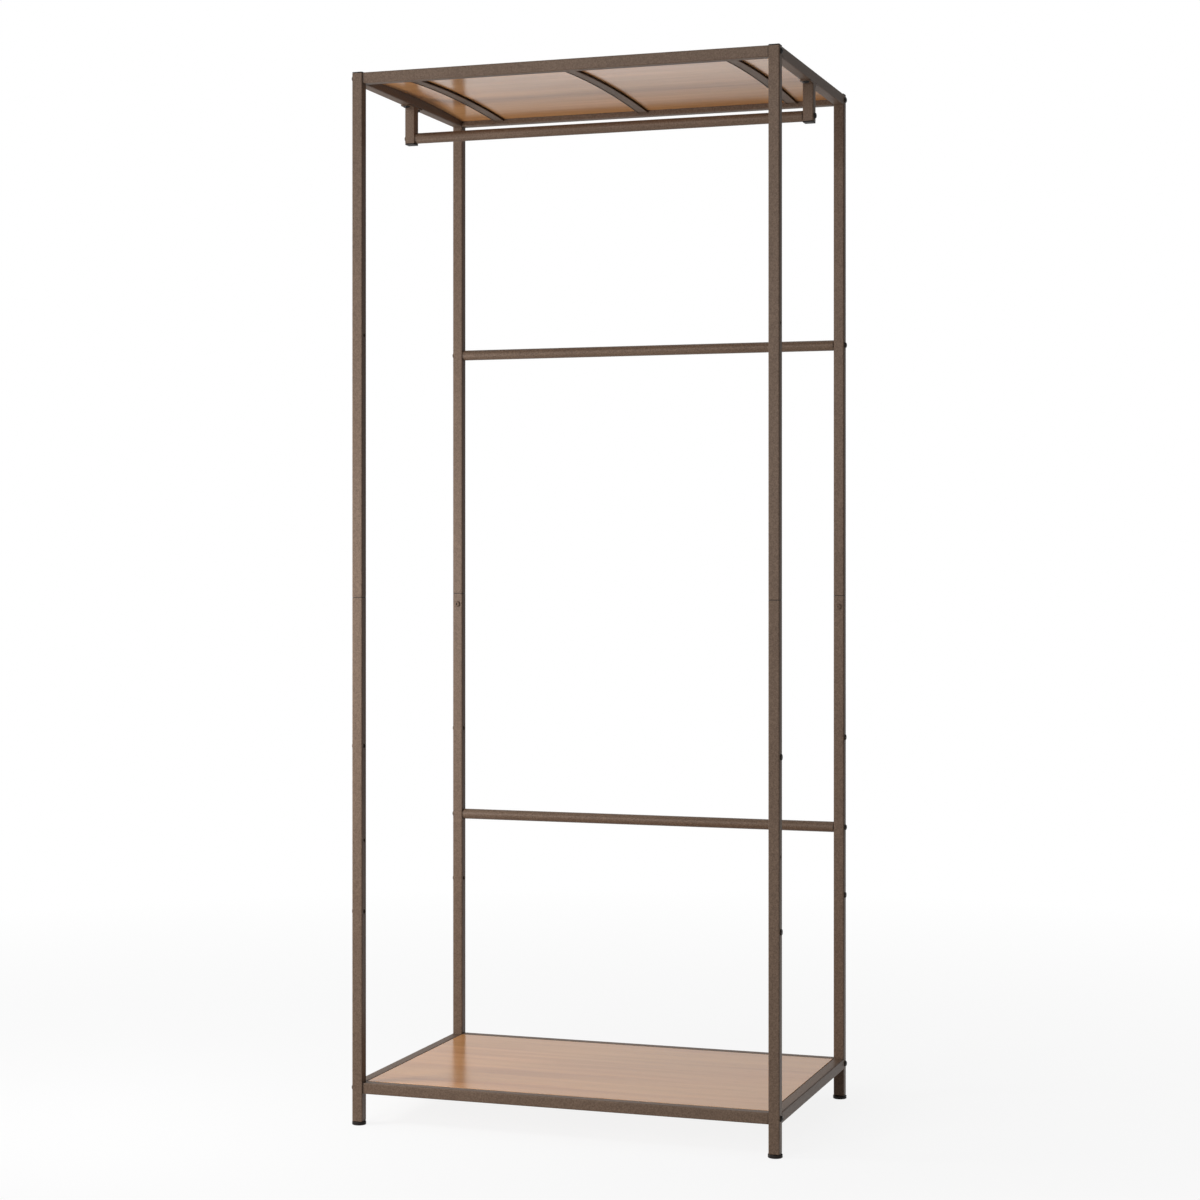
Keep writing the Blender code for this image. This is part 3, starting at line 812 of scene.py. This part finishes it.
def slat_tree():
    """A folded channel swept along an arch in the Y-Z plane, at evenly spaced places along X."""
    tree, size, out = new_tree("arched_slats", "Length Rise Spacing Height", Section="Object", Count="Int")
    line = made(tree, "GeometryNodeCurvePrimitiveLine", {"Start": (0, -0.5, 0), "End": (0, 0.5, 0)})
    points = made(tree, "GeometryNodeResampleCurve", {"Curve": line, "Count": ARCH_POINTS})
    along = axes(tree, made(tree, "GeometryNodeInputPosition"))["Y"]
    share = minus(tree, 1.0, times(tree, times(tree, along, along), 4.0))
    arch = vector(tree, Y=times(tree, along, size["Length"]), Z=times(tree, share, size["Rise"]))
    bent = made(tree, "GeometryNodeSetPosition", {"Geometry": points, "Position": arch})
    upright = made(tree, "GeometryNodeSetCurveNormal", {"Curve": bent, "Normal": (1, 0, 0)}, mode="FREE")
    section = geometry_of(tree, size["Section"])
    outline = made(tree, "GeometryNodeMeshToCurve", {"Mesh": section})
    sweep = {"Curve": upright, "Profile Curve": outline, "Fill Caps": True}
    swept = made(tree, "GeometryNodeCurveToMesh", sweep)
    row = {"Count": size["Count"], "Offset": vector(tree, X=size["Spacing"])}
    spots = made(tree, "GeometryNodeMeshLine", row)
    copies = made(tree, "GeometryNodeInstanceOnPoints", {"Points": spots, "Instance": swept})
    steps_back = times(tree, minus(tree, size["Count"], 1.0), -0.5)
    start = vector(tree, X=times(tree, steps_back, size["Spacing"]), Z=size["Height"])
    return close_tree(tree, shifted(tree, copies, start), size, out)


SLAT_TREE = slat_tree()

# %% Slat section
SLAT_HEIGHT = 0.0019
SLAT_SHEET = 0.0009
SLAT_FOLD = 0.001
FOLD_STEPS = 4


def folded_section():
    """The channel's outline: lips up, folds rounded, drawn anticlockwise."""
    half, inner = SLAT_WIDTH / 2, SLAT_FOLD - SLAT_SHEET
    outer_points, inner_points = [(half, SLAT_HEIGHT, 0)], [(half - SLAT_SHEET, SLAT_HEIGHT, 0)]
    for side in (1, -1):
        centre = side * (half - SLAT_FOLD)
        for angle in quarter(FOLD_STEPS)[::side]:
            across, down = math.cos(angle), math.sin(angle)
            outer_points.append((centre + side * SLAT_FOLD * across, SLAT_FOLD - SLAT_FOLD * down, 0))
            inner_points.append((centre + side * inner * across, SLAT_FOLD - inner * down, 0))
    outer_points.append((-half, SLAT_HEIGHT, 0))
    inner_points.append((SLAT_SHEET - half, SLAT_HEIGHT, 0))
    return outer_points + inner_points[::-1]


corners = folded_section()
edges = [(index, (index + 1) % len(corners)) for index in range(len(corners))]
section = show("slat_section", plain_mesh("slat_section", corners, edges))
print("slat section:", len(corners), "corners")

# %% Slats
SLAT_WELD = 0.0006
SLAT_LENGTH = 2 * (CROSS_Y - HALF_TUBE + SLAT_WELD)
TOP_ARCH = 0.0068
LEVELS = {"top": (TOP_RAIL_Z, TOP_ARCH), "bottom": (BOTTOM_RAIL_Z, 0.0)}
bottom_board_low, bottom_board_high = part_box("bottom_board")
BOARD_THICKNESS = bottom_board_high.z - bottom_board_low.z
BOARD_CREST = bottom_board_low.z - BOTTOM_RAIL_Z
SLAT_CREST = BOARD_CREST - GAP - SLAT_HEIGHT

for level, (height, rise) in LEVELS.items():
    base = SLAT_CREST - rise
    row = {"Section": section, "Count": 3, "Spacing": SLAT_SPACING, "Height": base}
    slats = grown(SLAT_TREE, POWDER_COAT, Length=SLAT_LENGTH, Rise=rise, **row)
    rails = [moved(cross_rail, 0, CROSS_Y, 0), moved(cross_rail, 0, -CROSS_Y, 0, math.pi)]
    whole = joined(*rails, shaded(outward(slats)))
    whole.transform(Matrix.Translation((0, 0, height)))
    piece(level + "_rails_and_slats", shaded(whole), "frame", "powder_coat", level + "_shelf_frame")
    print(level, "slats start", round(base, 5), "m over the rail's middle and rise by", rise)
discard(section)

# %% [markdown]
# ## Boards
#
# A thin board drops in between the four rails and rests on the slats. The top one bends over
# their arch, the bottom one lies flat. The tree makes a grid, gives it a thickness and lowers each
# point by the square of its distance from the middle, the same rule that bends the slats, so board
# and slats stay together. The edges are slightly broken with a small round bevel.


# %% Board tree
def board_tree():
    tree, size, out = new_tree("bent_board", "Width Depth Thickness Rise Span")
    sheet = {"Size X": size["Width"], "Size Y": size["Depth"], "Vertices X": 2, "Vertices Y": ARCH_POINTS}
    grid = made(tree, "GeometryNodeMeshGrid", sheet)
    flat = thickened(tree, grid, vector(tree, Z=size["Thickness"]))
    along = axes(tree, made(tree, "GeometryNodeInputPosition"))["Y"]
    share = math_node(tree, "DIVIDE", times(tree, along, 2.0), size["Span"])
    drop = times(tree, times(tree, share, share), size["Rise"])
    lowered = vector(tree, Z=times(tree, drop, -1.0))
    bent = made(tree, "GeometryNodeSetPosition", {"Geometry": flat, "Offset": lowered})
    return close_tree(tree, bent, size, out)


BOARD_TREE = board_tree()

# %% Boards
BOARD_EDGE = 0.0004
for level, (height, rise) in LEVELS.items():
    low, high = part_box(level + "_board")
    board_size = {"Width": high.x - low.x, "Depth": high.y - low.y, "Thickness": BOARD_THICKNESS}
    board = outward(grown(BOARD_TREE, WOOD_FOIL, Rise=rise, Span=SLAT_LENGTH, **board_size))
    board = shaded(moved(bevelled(board, BOARD_EDGE), 0, 0, height + BOARD_CREST))
    piece(level + "_foiled_board", board, "frame", "bamboo_laminate", level + "_board")
    print(level, "board:", round(high.x - low.x, 4), "by", round(high.y - low.y, 4), "m, bent by", rise)

# %% [markdown]
# ## Rods
#
# The hanging rod and the two back rods are the same round tube with a threaded plate in each end.
# Sixty-four sides keep the long highlight smooth.

# %% Rods
ROD_RADIUS = 0.0095
ROD_PLATE = 0.006
ROD_EASE = 0.0003
ROUND_STEPS = 64
rod_low, rod_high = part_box("hanging_rod")
ROD_HALF = (rod_high.x - rod_low.x) / 2
RODS = (
    ("hanging_rod", "rod_screw_", 0.0, HANGING_ROD_Z),
    ("upper_back_rod", "upper_back_rod_screw_", POST_Y, UPPER_ROD_Z),
    ("lower_back_rod", "lower_back_rod_screw_", POST_Y, LOWER_ROD_Z),
)

rod_bore, rod_hole = ROD_RADIUS - WALL, SCREW_HOLE / 2
outer_half = [
    (rod_hole, ROD_HALF),
    (ROD_RADIUS - ROD_EASE, ROD_HALF),
    (ROD_RADIUS, ROD_HALF - ROD_EASE),
]
inner_half = [(rod_hole, ROD_PLATE - ROD_HALF), (rod_bore, ROD_PLATE - ROD_HALF)]


def mirrored(points):
    """Points of an outline, then their mirror image at the other end."""
    return points + [(radius, -height) for radius, height in reversed(points)]


rod = turned(mirrored(outer_half) + mirrored(inner_half), ROUND_STEPS, closed=True)
rod = shaded(laid(rod, ALONG_X))
for name, _, y, height in RODS:
    piece(name + "_tube", moved(rod, 0, y, height), "frame", "powder_coat", name)
print("rods:", len(rod.polygons), "faces each")

# %% [markdown]
# ## Rod brackets
#
# A short square tube hangs under each top side rail from a thin flange with rounded ends, and the
# hanging rod is screwed to it from outside. The flange is welded on, then coated with the rest.

# %% Brackets
bracket_low, bracket_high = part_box("rod_bracket_left")
FLANGE = 0.002
FLANGE_CORNER = 0.006
flange_low = bracket_high.z - FLANGE
flange_length = bracket_high.y - bracket_low.y
flange_middle = bracket_high.z - FLANGE / 2
bracket = cut(
    fused(
        stock(bracket_low.z, flange_low + FLANGE / 2),
        bar(TUBE, flange_length, flange_low, bracket_high.z, FLANGE_CORNER),
    ),
    bore(bracket_low.z - OVERRUN, flange_low),
    side_hole(HANGING_ROD_Z),
    *(drill(SCREW_HOLE, FLANGE + 2 * OVERRUN, "Z", (0, y, flange_middle)) for y in boss_ys),
)
copied(SIDES, "bracket_tube_", shaded(bracket), "powder_coat", "rod_bracket_")

# %% [markdown]
# ## Weld beads
#
# Where rails meet posts, slats meet rails and a bracket meets its flange, a short bead of weld fills
# the inner corner under the coat. A bead is a row of overlapping ripples, so the tree takes short
# lines, walks along each at a fixed pitch and sets a small flattened drop at each step.


# %% Weld tree
DROP_SCALE = (1, 1, 0.8)


def weld_tree():
    tree, size, out = new_tree("weld_beads", "Pitch Radius", Lines="Object")
    lines = geometry_of(tree, size["Lines"])
    curves = made(tree, "GeometryNodeMeshToCurve", {"Mesh": lines})
    walk = {"Curve": curves, "Length": size["Pitch"]}
    steps = add(tree, "GeometryNodeCurveToPoints", walk, mode="LENGTH").outputs
    facing = made(tree, "FunctionNodeAlignRotationToVector", {"Vector": steps["Tangent"]}, axis="Z")
    ball = {"Segments": 10, "Rings": 5, "Radius": size["Radius"]}
    drop = made(tree, "GeometryNodeMeshUVSphere", ball)
    seats = {"Points": steps["Points"], "Instance": drop, "Rotation": facing, "Scale": DROP_SCALE}
    return close_tree(tree, made(tree, "GeometryNodeInstanceOnPoints", seats), size, out)


WELD_TREE = weld_tree()

# %% Weld lines
WELD_RADIUS = 0.0011
WELD_PITCH = 0.0009


def bead(x, y, z, half):
    """The two ends of one bead along X."""
    return (x - half, y, z), (x + half, y, z)


reach = HALF_TUBE - TUBE_CORNER
weld_lines = []
for sign_x in (-1, 1):
    x = sign_x * POST_X
    for sign_y in (-1, 1):
        y = sign_y * (POST_Y - HALF_TUBE - GAP / 2)
        for z in (TOP_RAIL_Z - HALF_TUBE, BOTTOM_RAIL_Z - HALF_TUBE, BOTTOM_RAIL_Z + HALF_TUBE):
            weld_lines.append(bead(x, y, z, reach))
    for y in (-HALF_TUBE, HALF_TUBE):
        weld_lines.append(bead(x, y, flange_low, reach))
for height, rise in LEVELS.values():
    for step in (-1, 0, 1):
        for sign_y in (-1, 1):
            x, y, z = step * SLAT_SPACING, sign_y * (CROSS_Y - HALF_TUBE), height + SLAT_CREST - rise
            weld_lines.append(bead(x, y, z, SLAT_WIDTH / 2 - SLAT_FOLD))
ends = [end for line in weld_lines for end in line]
pairs = [(2 * index, 2 * index + 1) for index in range(len(weld_lines))]
lines = show("lines", plain_mesh("lines", ends, pairs))
welds = grown(WELD_TREE, POWDER_COAT, Lines=lines, Pitch=WELD_PITCH, Radius=WELD_RADIUS)
welds.shade_smooth()
discard(lines)
piece("weld_beads", welds, "frame", "powder_coat")
print("weld lines:", len(weld_lines), "faces:", len(welds.polygons))

# %% [markdown]
# ## Threads
#
# A screw thread is a rule too. The tree takes a finely ringed cylinder and pulls each point inwards
# by a triangle wave of its height less its angle, which is exactly a helix, and fades the wave out
# at both ends as a die does. One tree serves the screws' shanks and the levelling stems.

# %% Thread tree
THREAD_DEPTH = 0.6
THREAD_CREASE = math.radians(50)


def thread_tree():
    tree, size, out = new_tree("thread", "Radius Depth Pitch Length", Sides="Int", Rings="Int")
    rod_size = {"Vertices": size["Sides"], "Side Segments": size["Rings"]}
    rod_size.update({"Radius": size["Radius"], "Depth": size["Length"]})
    stock_rod = add(tree, "GeometryNodeMeshCylinder", rod_size, fill_type="NGON").outputs["Mesh"]
    at = axes(tree, made(tree, "GeometryNodeInputPosition"))
    angle = math_node(tree, "DIVIDE", math_node(tree, "ARCTAN2", at["Y"], at["X"]), FULL_TURN)
    turns = minus(tree, math_node(tree, "DIVIDE", at["Z"], size["Pitch"]), angle)
    wave = math_node(tree, "PINGPONG", turns, 0.5)
    valley = times(tree, times(tree, wave, 2.0), size["Depth"])
    half = times(tree, size["Length"], 0.5)
    from_end = minus(tree, half, math_node(tree, "ABSOLUTE", at["Z"]))
    inset = larger(tree, valley, minus(tree, size["Depth"], from_end))
    scale = minus(tree, 1.0, math_node(tree, "DIVIDE", inset, size["Radius"]))
    ring = vector(tree, X=times(tree, at["X"], scale), Y=times(tree, at["Y"], scale), Z=at["Z"])
    threaded = made(tree, "GeometryNodeSetPosition", {"Geometry": stock_rod, "Position": ring})
    return close_tree(tree, shifted(tree, threaded, vector(tree, Z=half)), size, out)


THREAD_TREE = thread_tree()


def thread(radius, pitch, length, material, sides, rings_per_turn):
    """A threaded rod that stands on the origin."""
    sizes = {"Radius": radius, "Depth": pitch * THREAD_DEPTH, "Pitch": pitch, "Length": length}
    rings = round(length / pitch * rings_per_turn)
    mesh = grown(THREAD_TREE, material, Sides=sides, Rings=rings, **sizes)
    mesh.shade_smooth()
    mesh.set_sharp_from_angle(angle=THREAD_CREASE)
    return mesh


# %% [markdown]
# ## Button-head screws
#
# Every joint uses the same button-head screw with a hexagon socket, blackened at rails, rods and
# brackets and coated like the tubes at the posts' seams. The low dome is turned from a short arc,
# the socket is cut with a six-sided drill, and the shank is the thread tree's. The heads face
# outwards, so one small mesh of seats with a direction at each point is all that the placing tree
# needs.

# %% One screw
HEAD_HEIGHT = 0.0033
HEAD_WIDTH = 0.0105
FLANGE_HEAD_WIDTH = 0.012
HEAD_EASE = 0.0002
HEAD_RIM = 0.28 * HEAD_HEIGHT
FLAT_SHARE = 0.45
LONG_SHANK = 0.030
SHORT_SHANK = 0.012
SHANK_ROOT = 0.0004
SCREW_PITCH = 0.001
SOCKET_FLATS = 0.004
SOCKET_DEPTH = 0.0019
SMALL_STEPS = 36


def button_screw(length, head_width, material=BLACK_SCREW):
    """The head's seat is at 0 and the shank points to +Z."""
    radius = head_width / 2
    flat = FLAT_SHARE * radius
    outline = [(0, 0), (radius - HEAD_EASE, 0), (radius, -HEAD_EASE)]
    for angle in quarter(7):
        across = flat + (radius - flat) * math.cos(angle)
        outline.append((across, -HEAD_RIM - (HEAD_HEIGHT - HEAD_RIM) * math.sin(angle)))
    head = turned([*outline, (0, -HEAD_HEIGHT)], SMALL_STEPS, material=material)
    across_corners = SOCKET_FLATS / math.cos(math.pi / 6)
    socket = drill(across_corners, 2 * SOCKET_DEPTH, "Z", (0, 0, -HEAD_HEIGHT), steps=6)
    shank_length = length + SHANK_ROOT
    shank = thread(SCREW_DIAMETER / 2, SCREW_PITCH, shank_length, material, sides=18, rings_per_turn=4)
    shank.transform(Matrix.Translation((0, 0, -SHANK_ROOT)))
    return joined(shaded(cut(head, socket), 28), shank)


long_screw = button_screw(LONG_SHANK, HEAD_WIDTH)
coated_screw = button_screw(SHORT_SHANK, HEAD_WIDTH, POWDER_COAT)
flange_screw = button_screw(SHORT_SHANK, FLANGE_HEAD_WIDTH)
print("screws:", len(long_screw.polygons), "and", len(coated_screw.polygons), "faces")


# %% Placing tree
def placing_tree():
    """Copies of one thing at the points of a mesh, its Z axis along each point's direction."""
    tree, size, out = new_tree("placed_on_seats", "", Seats="Object", Thing="Object")
    seats = geometry_of(tree, size["Seats"])
    thing = geometry_of(tree, size["Thing"])
    aim = made(tree, "GeometryNodeInputNamedAttribute", {"Name": "direction"}, data_type="FLOAT_VECTOR")
    facing = made(tree, "FunctionNodeAlignRotationToVector", {"Vector": aim}, axis="Z")
    placing = {"Points": seats, "Instance": thing, "Rotation": facing}
    return close_tree(tree, made(tree, "GeometryNodeInstanceOnPoints", placing), size, out)


PLACING_TREE = placing_tree()


def placed_on(seats, template, material):
    """One mesh with a copy of the template at each seat, given as a point and a direction."""
    mesh = plain_mesh("seats", [point for point, _ in seats])
    aims = mesh.attributes.new("direction", "FLOAT_VECTOR", "POINT")
    aims.data.foreach_set("vector", [value for _, aim in seats for value in aim])
    seat_object, thing = show("seats", mesh), show("thing", template.copy())
    result = grown(PLACING_TREE, material, Seats=seat_object, Thing=thing)
    discard(seat_object, thing)
    return result


# %% Screws in their seats
frame_seats, joint_seats, rod_seats, flange_seats = {}, {}, {}, {}
for corner, (side_x, side_y) in CORNERS.items():
    for level, height in (("top", TOP_RAIL_Z), ("bottom", BOTTOM_RAIL_Z)):
        seat = (side_x * HALF_WIDTH, side_y * POST_Y, height)
        frame_seats[level + "_frame_screw_" + corner] = (seat, (-side_x, 0, 0))
    seat = (side_x * POST_X, side_y * (POST_Y - HALF_TUBE), JOINT_SCREW_Z)
    joint_seats["joint_screw_" + corner] = (seat, (0, side_y, 0))
for side, (sign, _) in SIDES.items():
    for _, screw, y, height in RODS:
        rod_seats[screw + side] = ((sign * HALF_WIDTH, y, height), (-sign, 0, 0))
    for end, y in (("front", boss_ys[0]), ("back", boss_ys[1])):
        flange_seats["bracket_screw_" + side + "_" + end] = ((sign * POST_X, y, flange_low), (0, 0, 1))

for name, seats, template, finish, slot in (
    ("shelf_frame_screws", frame_seats, long_screw, BLACK_SCREW, "black_screw"),
    ("post_joint_screws", joint_seats, coated_screw, POWDER_COAT, "powder_coat"),
    ("rod_end_screws", rod_seats, long_screw, BLACK_SCREW, "black_screw"),
    ("bracket_flange_screws", flange_seats, flange_screw, BLACK_SCREW, "black_screw"),
):
    piece(name, placed_on(seats.values(), template, finish), "frame", slot, *seats)
    print(name, "placed:", len(seats))

# %% [markdown]
# ## Caps and plugs
#
# Moulded caps close the posts' tops, rounded plugs close the brackets' lower ends, and small domed
# plugs close the posts' spare holes on the outer faces. Each has a skirt or a stub that grips the
# tube, and edges that are rounded as moulded parts are.

# %% Top caps and bracket plugs
SKIRT_WALL = 0.0014
SKIRT_HOLLOW = SPIGOT - 2 * SKIRT_WALL
CAP_PLATE = 0.0018
CAP_SKIRT = 0.0055
SKIRT_START = 0.0012
CAP_EDGE = 0.0006
PLUG_EDGE = 0.0008


def moulded_cap(plate, edge, skirt, hollow):
    """A plate with rounded edges and a hollow skirt, each from a lower to an upper height."""
    cover = bevelled(bar(TUBE, TUBE, *plate, TUBE_CORNER, BLACK_PLASTIC), edge, 4, 60)
    grip = bar(SPIGOT, SPIGOT, *skirt, TUBE_CORNER - WALL, BLACK_PLASTIC)
    return shaded(fused(cover, cut(grip, bar(SKIRT_HOLLOW, SKIRT_HOLLOW, *hollow))))


cap_seat = RACK_TOP - CAP_PLATE
cap_skirt = (cap_seat - CAP_SKIRT, RACK_TOP - SKIRT_START)
cap = moulded_cap((cap_seat, RACK_TOP), CAP_EDGE, cap_skirt, (cap_skirt[0] - OVERRUN, cap_seat))
copied(CORNERS, "post_cap_", cap, "black_plastic", "top_cap_")

plug_low, plug_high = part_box("bracket_plug_left")
PLUG_PLATE = bracket_low.z - GAP - plug_low.z
plug_seat = plug_low.z + PLUG_PLATE
plug_skirt = (plug_low.z + PLUG_PLATE / 2, plug_high.z)
plug = moulded_cap((plug_low.z, plug_seat), PLUG_EDGE, plug_skirt, (plug_seat, plug_high.z + OVERRUN))
copied(SIDES, "bracket_end_plug_", plug, "black_plastic", "bracket_plug_")

# %% Spare-hole plugs
dome_radius, dome_top, dome_height, dome_rim = 0.00525, 0.00425, 0.0022, 0.45
stub_radius = SPARE_HOLE / 2 - GAP / 2
stub_end, stub_ease, stub_start = -WALL - 0.0022, 0.0006, -WALL - 0.0010
dome = [
    (
        dome_top + (dome_radius - dome_top) * math.cos(angle),
        dome_height * (dome_rim + (1 - dome_rim) * math.sin(angle)),
    )
    for angle in quarter(6)
]
outline = [(0, dome_height), *dome[::-1], (dome_radius, 0), (stub_radius, 0)]
outline += [(stub_radius, stub_start), (stub_radius - stub_ease, stub_end), (0, stub_end)]
spare_plug = shaded(turned(outline, SMALL_STEPS, material=BLACK_PLASTIC))
spare_seats = [
    ((side_x * HALF_WIDTH, side_y * POST_Y, height), (side_x, 0, 0))
    for side_x, side_y in CORNERS.values()
    for height in SPARE_HEIGHTS
]
piece("spare_hole_plugs", placed_on(spare_seats, spare_plug, BLACK_PLASTIC), "frame", "black_plastic")
print("spare-hole plugs:", len(spare_seats))

# %% [markdown]
# ## Levelling feet
#
# Each foot is a moulded round pad with a plated thread that screws into the post's nut plate. The
# pad is turned with a shallow groove round its side, and the thread comes from the thread tree with
# M8's standard pitch. Pad and thread ride on their own bodies: the pad sinks as the thread turns.

# %% Feet
pad_low, pad_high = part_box("foot_pad_front_left")
stem_low, stem_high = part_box("foot_stem_front_left")
PAD_RADIUS = (pad_high.x - pad_low.x) / 2
PAD_HEIGHT = pad_high.z - pad_low.z
PAD_ROUND = 0.0011
GROOVE_RADIUS = PAD_RADIUS - 0.0004
GROOVE_HEIGHTS = (0.0035, 0.0033, 0.0029, 0.0027)
STEM_PITCH = 0.00125
arc = [(PAD_ROUND * (1 - math.sin(a)), PAD_ROUND * (1 - math.cos(a))) for a in quarter(5)]
shoulder = [(PAD_RADIUS - back, PAD_HEIGHT - down) for back, down in arc]
groove = list(zip((PAD_RADIUS, GROOVE_RADIUS, GROOVE_RADIUS, PAD_RADIUS), GROOVE_HEIGHTS))
toe = [(PAD_RADIUS - back, up) for up, back in arc]
socket_radius, socket_floor = STEM_DIAMETER / 2 + GAP, stem_low.z - GAP
outline = [(0, socket_floor), (socket_radius, socket_floor), (socket_radius, PAD_HEIGHT)]
outline += [*shoulder, *groove, *toe, (0, 0)]
pad = shaded(turned(outline, ROUND_STEPS, material=BLACK_PLASTIC), 45)
stem_length = stem_high.z - stem_low.z
stem = thread(STEM_DIAMETER / 2, STEM_PITCH, stem_length, PLATED_STEEL, sides=32, rings_per_turn=6)
stem.transform(Matrix.Translation((0, 0, stem_low.z)))
for corner, (side_x, side_y) in CORNERS.items():
    at = (side_x * POST_X, side_y * POST_Y)
    piece("pad_" + corner, moved(pad, *at), "pad_" + corner, "black_plastic", "foot_pad_" + corner)
    piece("thread_" + corner, moved(stem, *at), "stem_" + corner, "plated_stem", "foot_stem_" + corner)
print("pads:", len(pad.polygons), "faces; threads:", len(stem.polygons), "faces")

# %% [markdown]
# ## The room
#
# The rack stands on a plain white floor in front of nothing, as in a catalogue. The world is white
# to the camera, bright in reflections and softer as a light, and it dims towards the rack's right,
# as a studio does on the side away from its lamps. The floor is pale, keeps the shadow under the
# rack, and fades to the same white far away, so that no horizon shows. In reflections it is bright
# near the lamps, dim behind the rack and bright again at the backdrop, which gives the lacquered
# underside of the top shelf its run from pale in front to golden at the back. It throws back less
# light than it shows, which keeps the tubes' undersides and inner faces dark.

# %% World
AMBIENT = 0.33
DIM_SIDE = 0.44
DIM_BAND = (-0.25, 0.35)
MIRRORED_ROOM = 0.80


def white_world():
    world = bpy.data.worlds.new("room")
    world.use_nodes = True
    tree = world.node_tree
    path = add(tree, "ShaderNodeLightPath").outputs
    side = spread(tree, axes(tree, here(tree))["X"], *DIM_BAND, 1.0, DIM_SIDE)
    light = times(tree, spread(tree, path["Is Glossy Ray"], 0.0, 1.0, AMBIENT, MIRRORED_ROOM), side)
    seen = larger(tree, path["Is Camera Ray"], path["Is Transmission Ray"])
    fill(tree, tree.nodes["Background"], {"Color": WHITE, "Strength": larger(tree, seen, light)})
    return world


scene.world = white_world()
print("world light", AMBIENT)

# %% Floor
FLOOR_SIZE = 40.0
PALENESS = 0.86
BOUNCE = 0.60
DIM_FLOOR = 0.20
NEAR_GLOW = 0.87
GLOW_BAND = (0.6, 3.0)
NEAR_BAND = (2.5, 5.0)
BACKDROP_BAND = (6.0, 10.5)


def floor_material():
    """Matt and shadowed under the rack, glowing white for the camera and in mirrors further out."""
    material, tree, shader = new_material("floor")
    tree.nodes.remove(shader)
    distance = add(tree, "ShaderNodeVectorMath", {0: here(tree)}, operation="LENGTH").outputs["Value"]
    path = add(tree, "ShaderNodeLightPath").outputs
    camera_ray, glossy_ray = path["Is Camera Ray"], path["Is Glossy Ray"]
    paleness = spread(tree, camera_ray, 0.0, 1.0, BOUNCE, PALENESS)
    matt = made(tree, "ShaderNodeBsdfDiffuse", {"Color": paleness})
    seen = larger(tree, camera_ray, glossy_ray)
    share = larger(tree, spread(tree, distance, *GLOW_BAND, NEAR_GLOW, 1.0), glossy_ray)
    near = spread(tree, distance, *NEAR_BAND, 1.0, DIM_FLOOR)
    backdrop = spread(tree, distance, *BACKDROP_BAND, DIM_FLOOR, 1.0)
    level = larger(tree, larger(tree, near, backdrop), camera_ray)
    glow = made(tree, "ShaderNodeEmission", {"Color": WHITE, "Strength": level})
    mixed = made(tree, "ShaderNodeMixShader", {0: times(tree, seen, share), 1: matt, 2: glow})
    fill(tree, tree.nodes["Material Output"], {"Surface": mixed})
    return material


edge = FLOOR_SIZE / 2
floor_mesh = plain_mesh(
    "floor", [(-edge, -edge, 0), (edge, -edge, 0), (edge, edge, 0), (-edge, edge, 0)], faces=[(0, 1, 2, 3)]
)
floor_mesh.materials.append(floor_material())
floor = show("floor", floor_mesh)
print("floor", FLOOR_SIZE, "m across")


# %% Lamps
def soft_lamp(name, place, target, size, power):
    data = bpy.data.lights.new(name, "AREA")
    data.shape = "DISK"
    data.size = size
    data.energy = power
    lamp = bpy.data.objects.new(name, data)
    lamp.location = place
    aim = Vector(target) - Vector(place)
    lamp.rotation_euler = aim.to_track_quat("-Z", "Y").to_euler()
    scene.collection.objects.link(lamp)
    print(name, "lamp:", power, "W")


soft_lamp("key", (-1.4, -4.6, 1.9), (0, 0, 0.9), 2.4, 95.0)
soft_lamp("side", (-1.15, -0.75, 0.85), (-0.37, 0.0, 0.85), 0.5, 13.0)
soft_lamp("top", (0.0, 0.6, 4.4), (0, 0, 0.9), 2.6, 20.0)
scene.view_settings.view_transform = "Standard"

# %% [markdown]
# ## Count the pieces
#
# The last cell counts the pieces and their faces.

# %% Count the pieces
print("pieces:", len(pieces), "faces:", sum(len(obj.data.polygons) for obj in pieces))
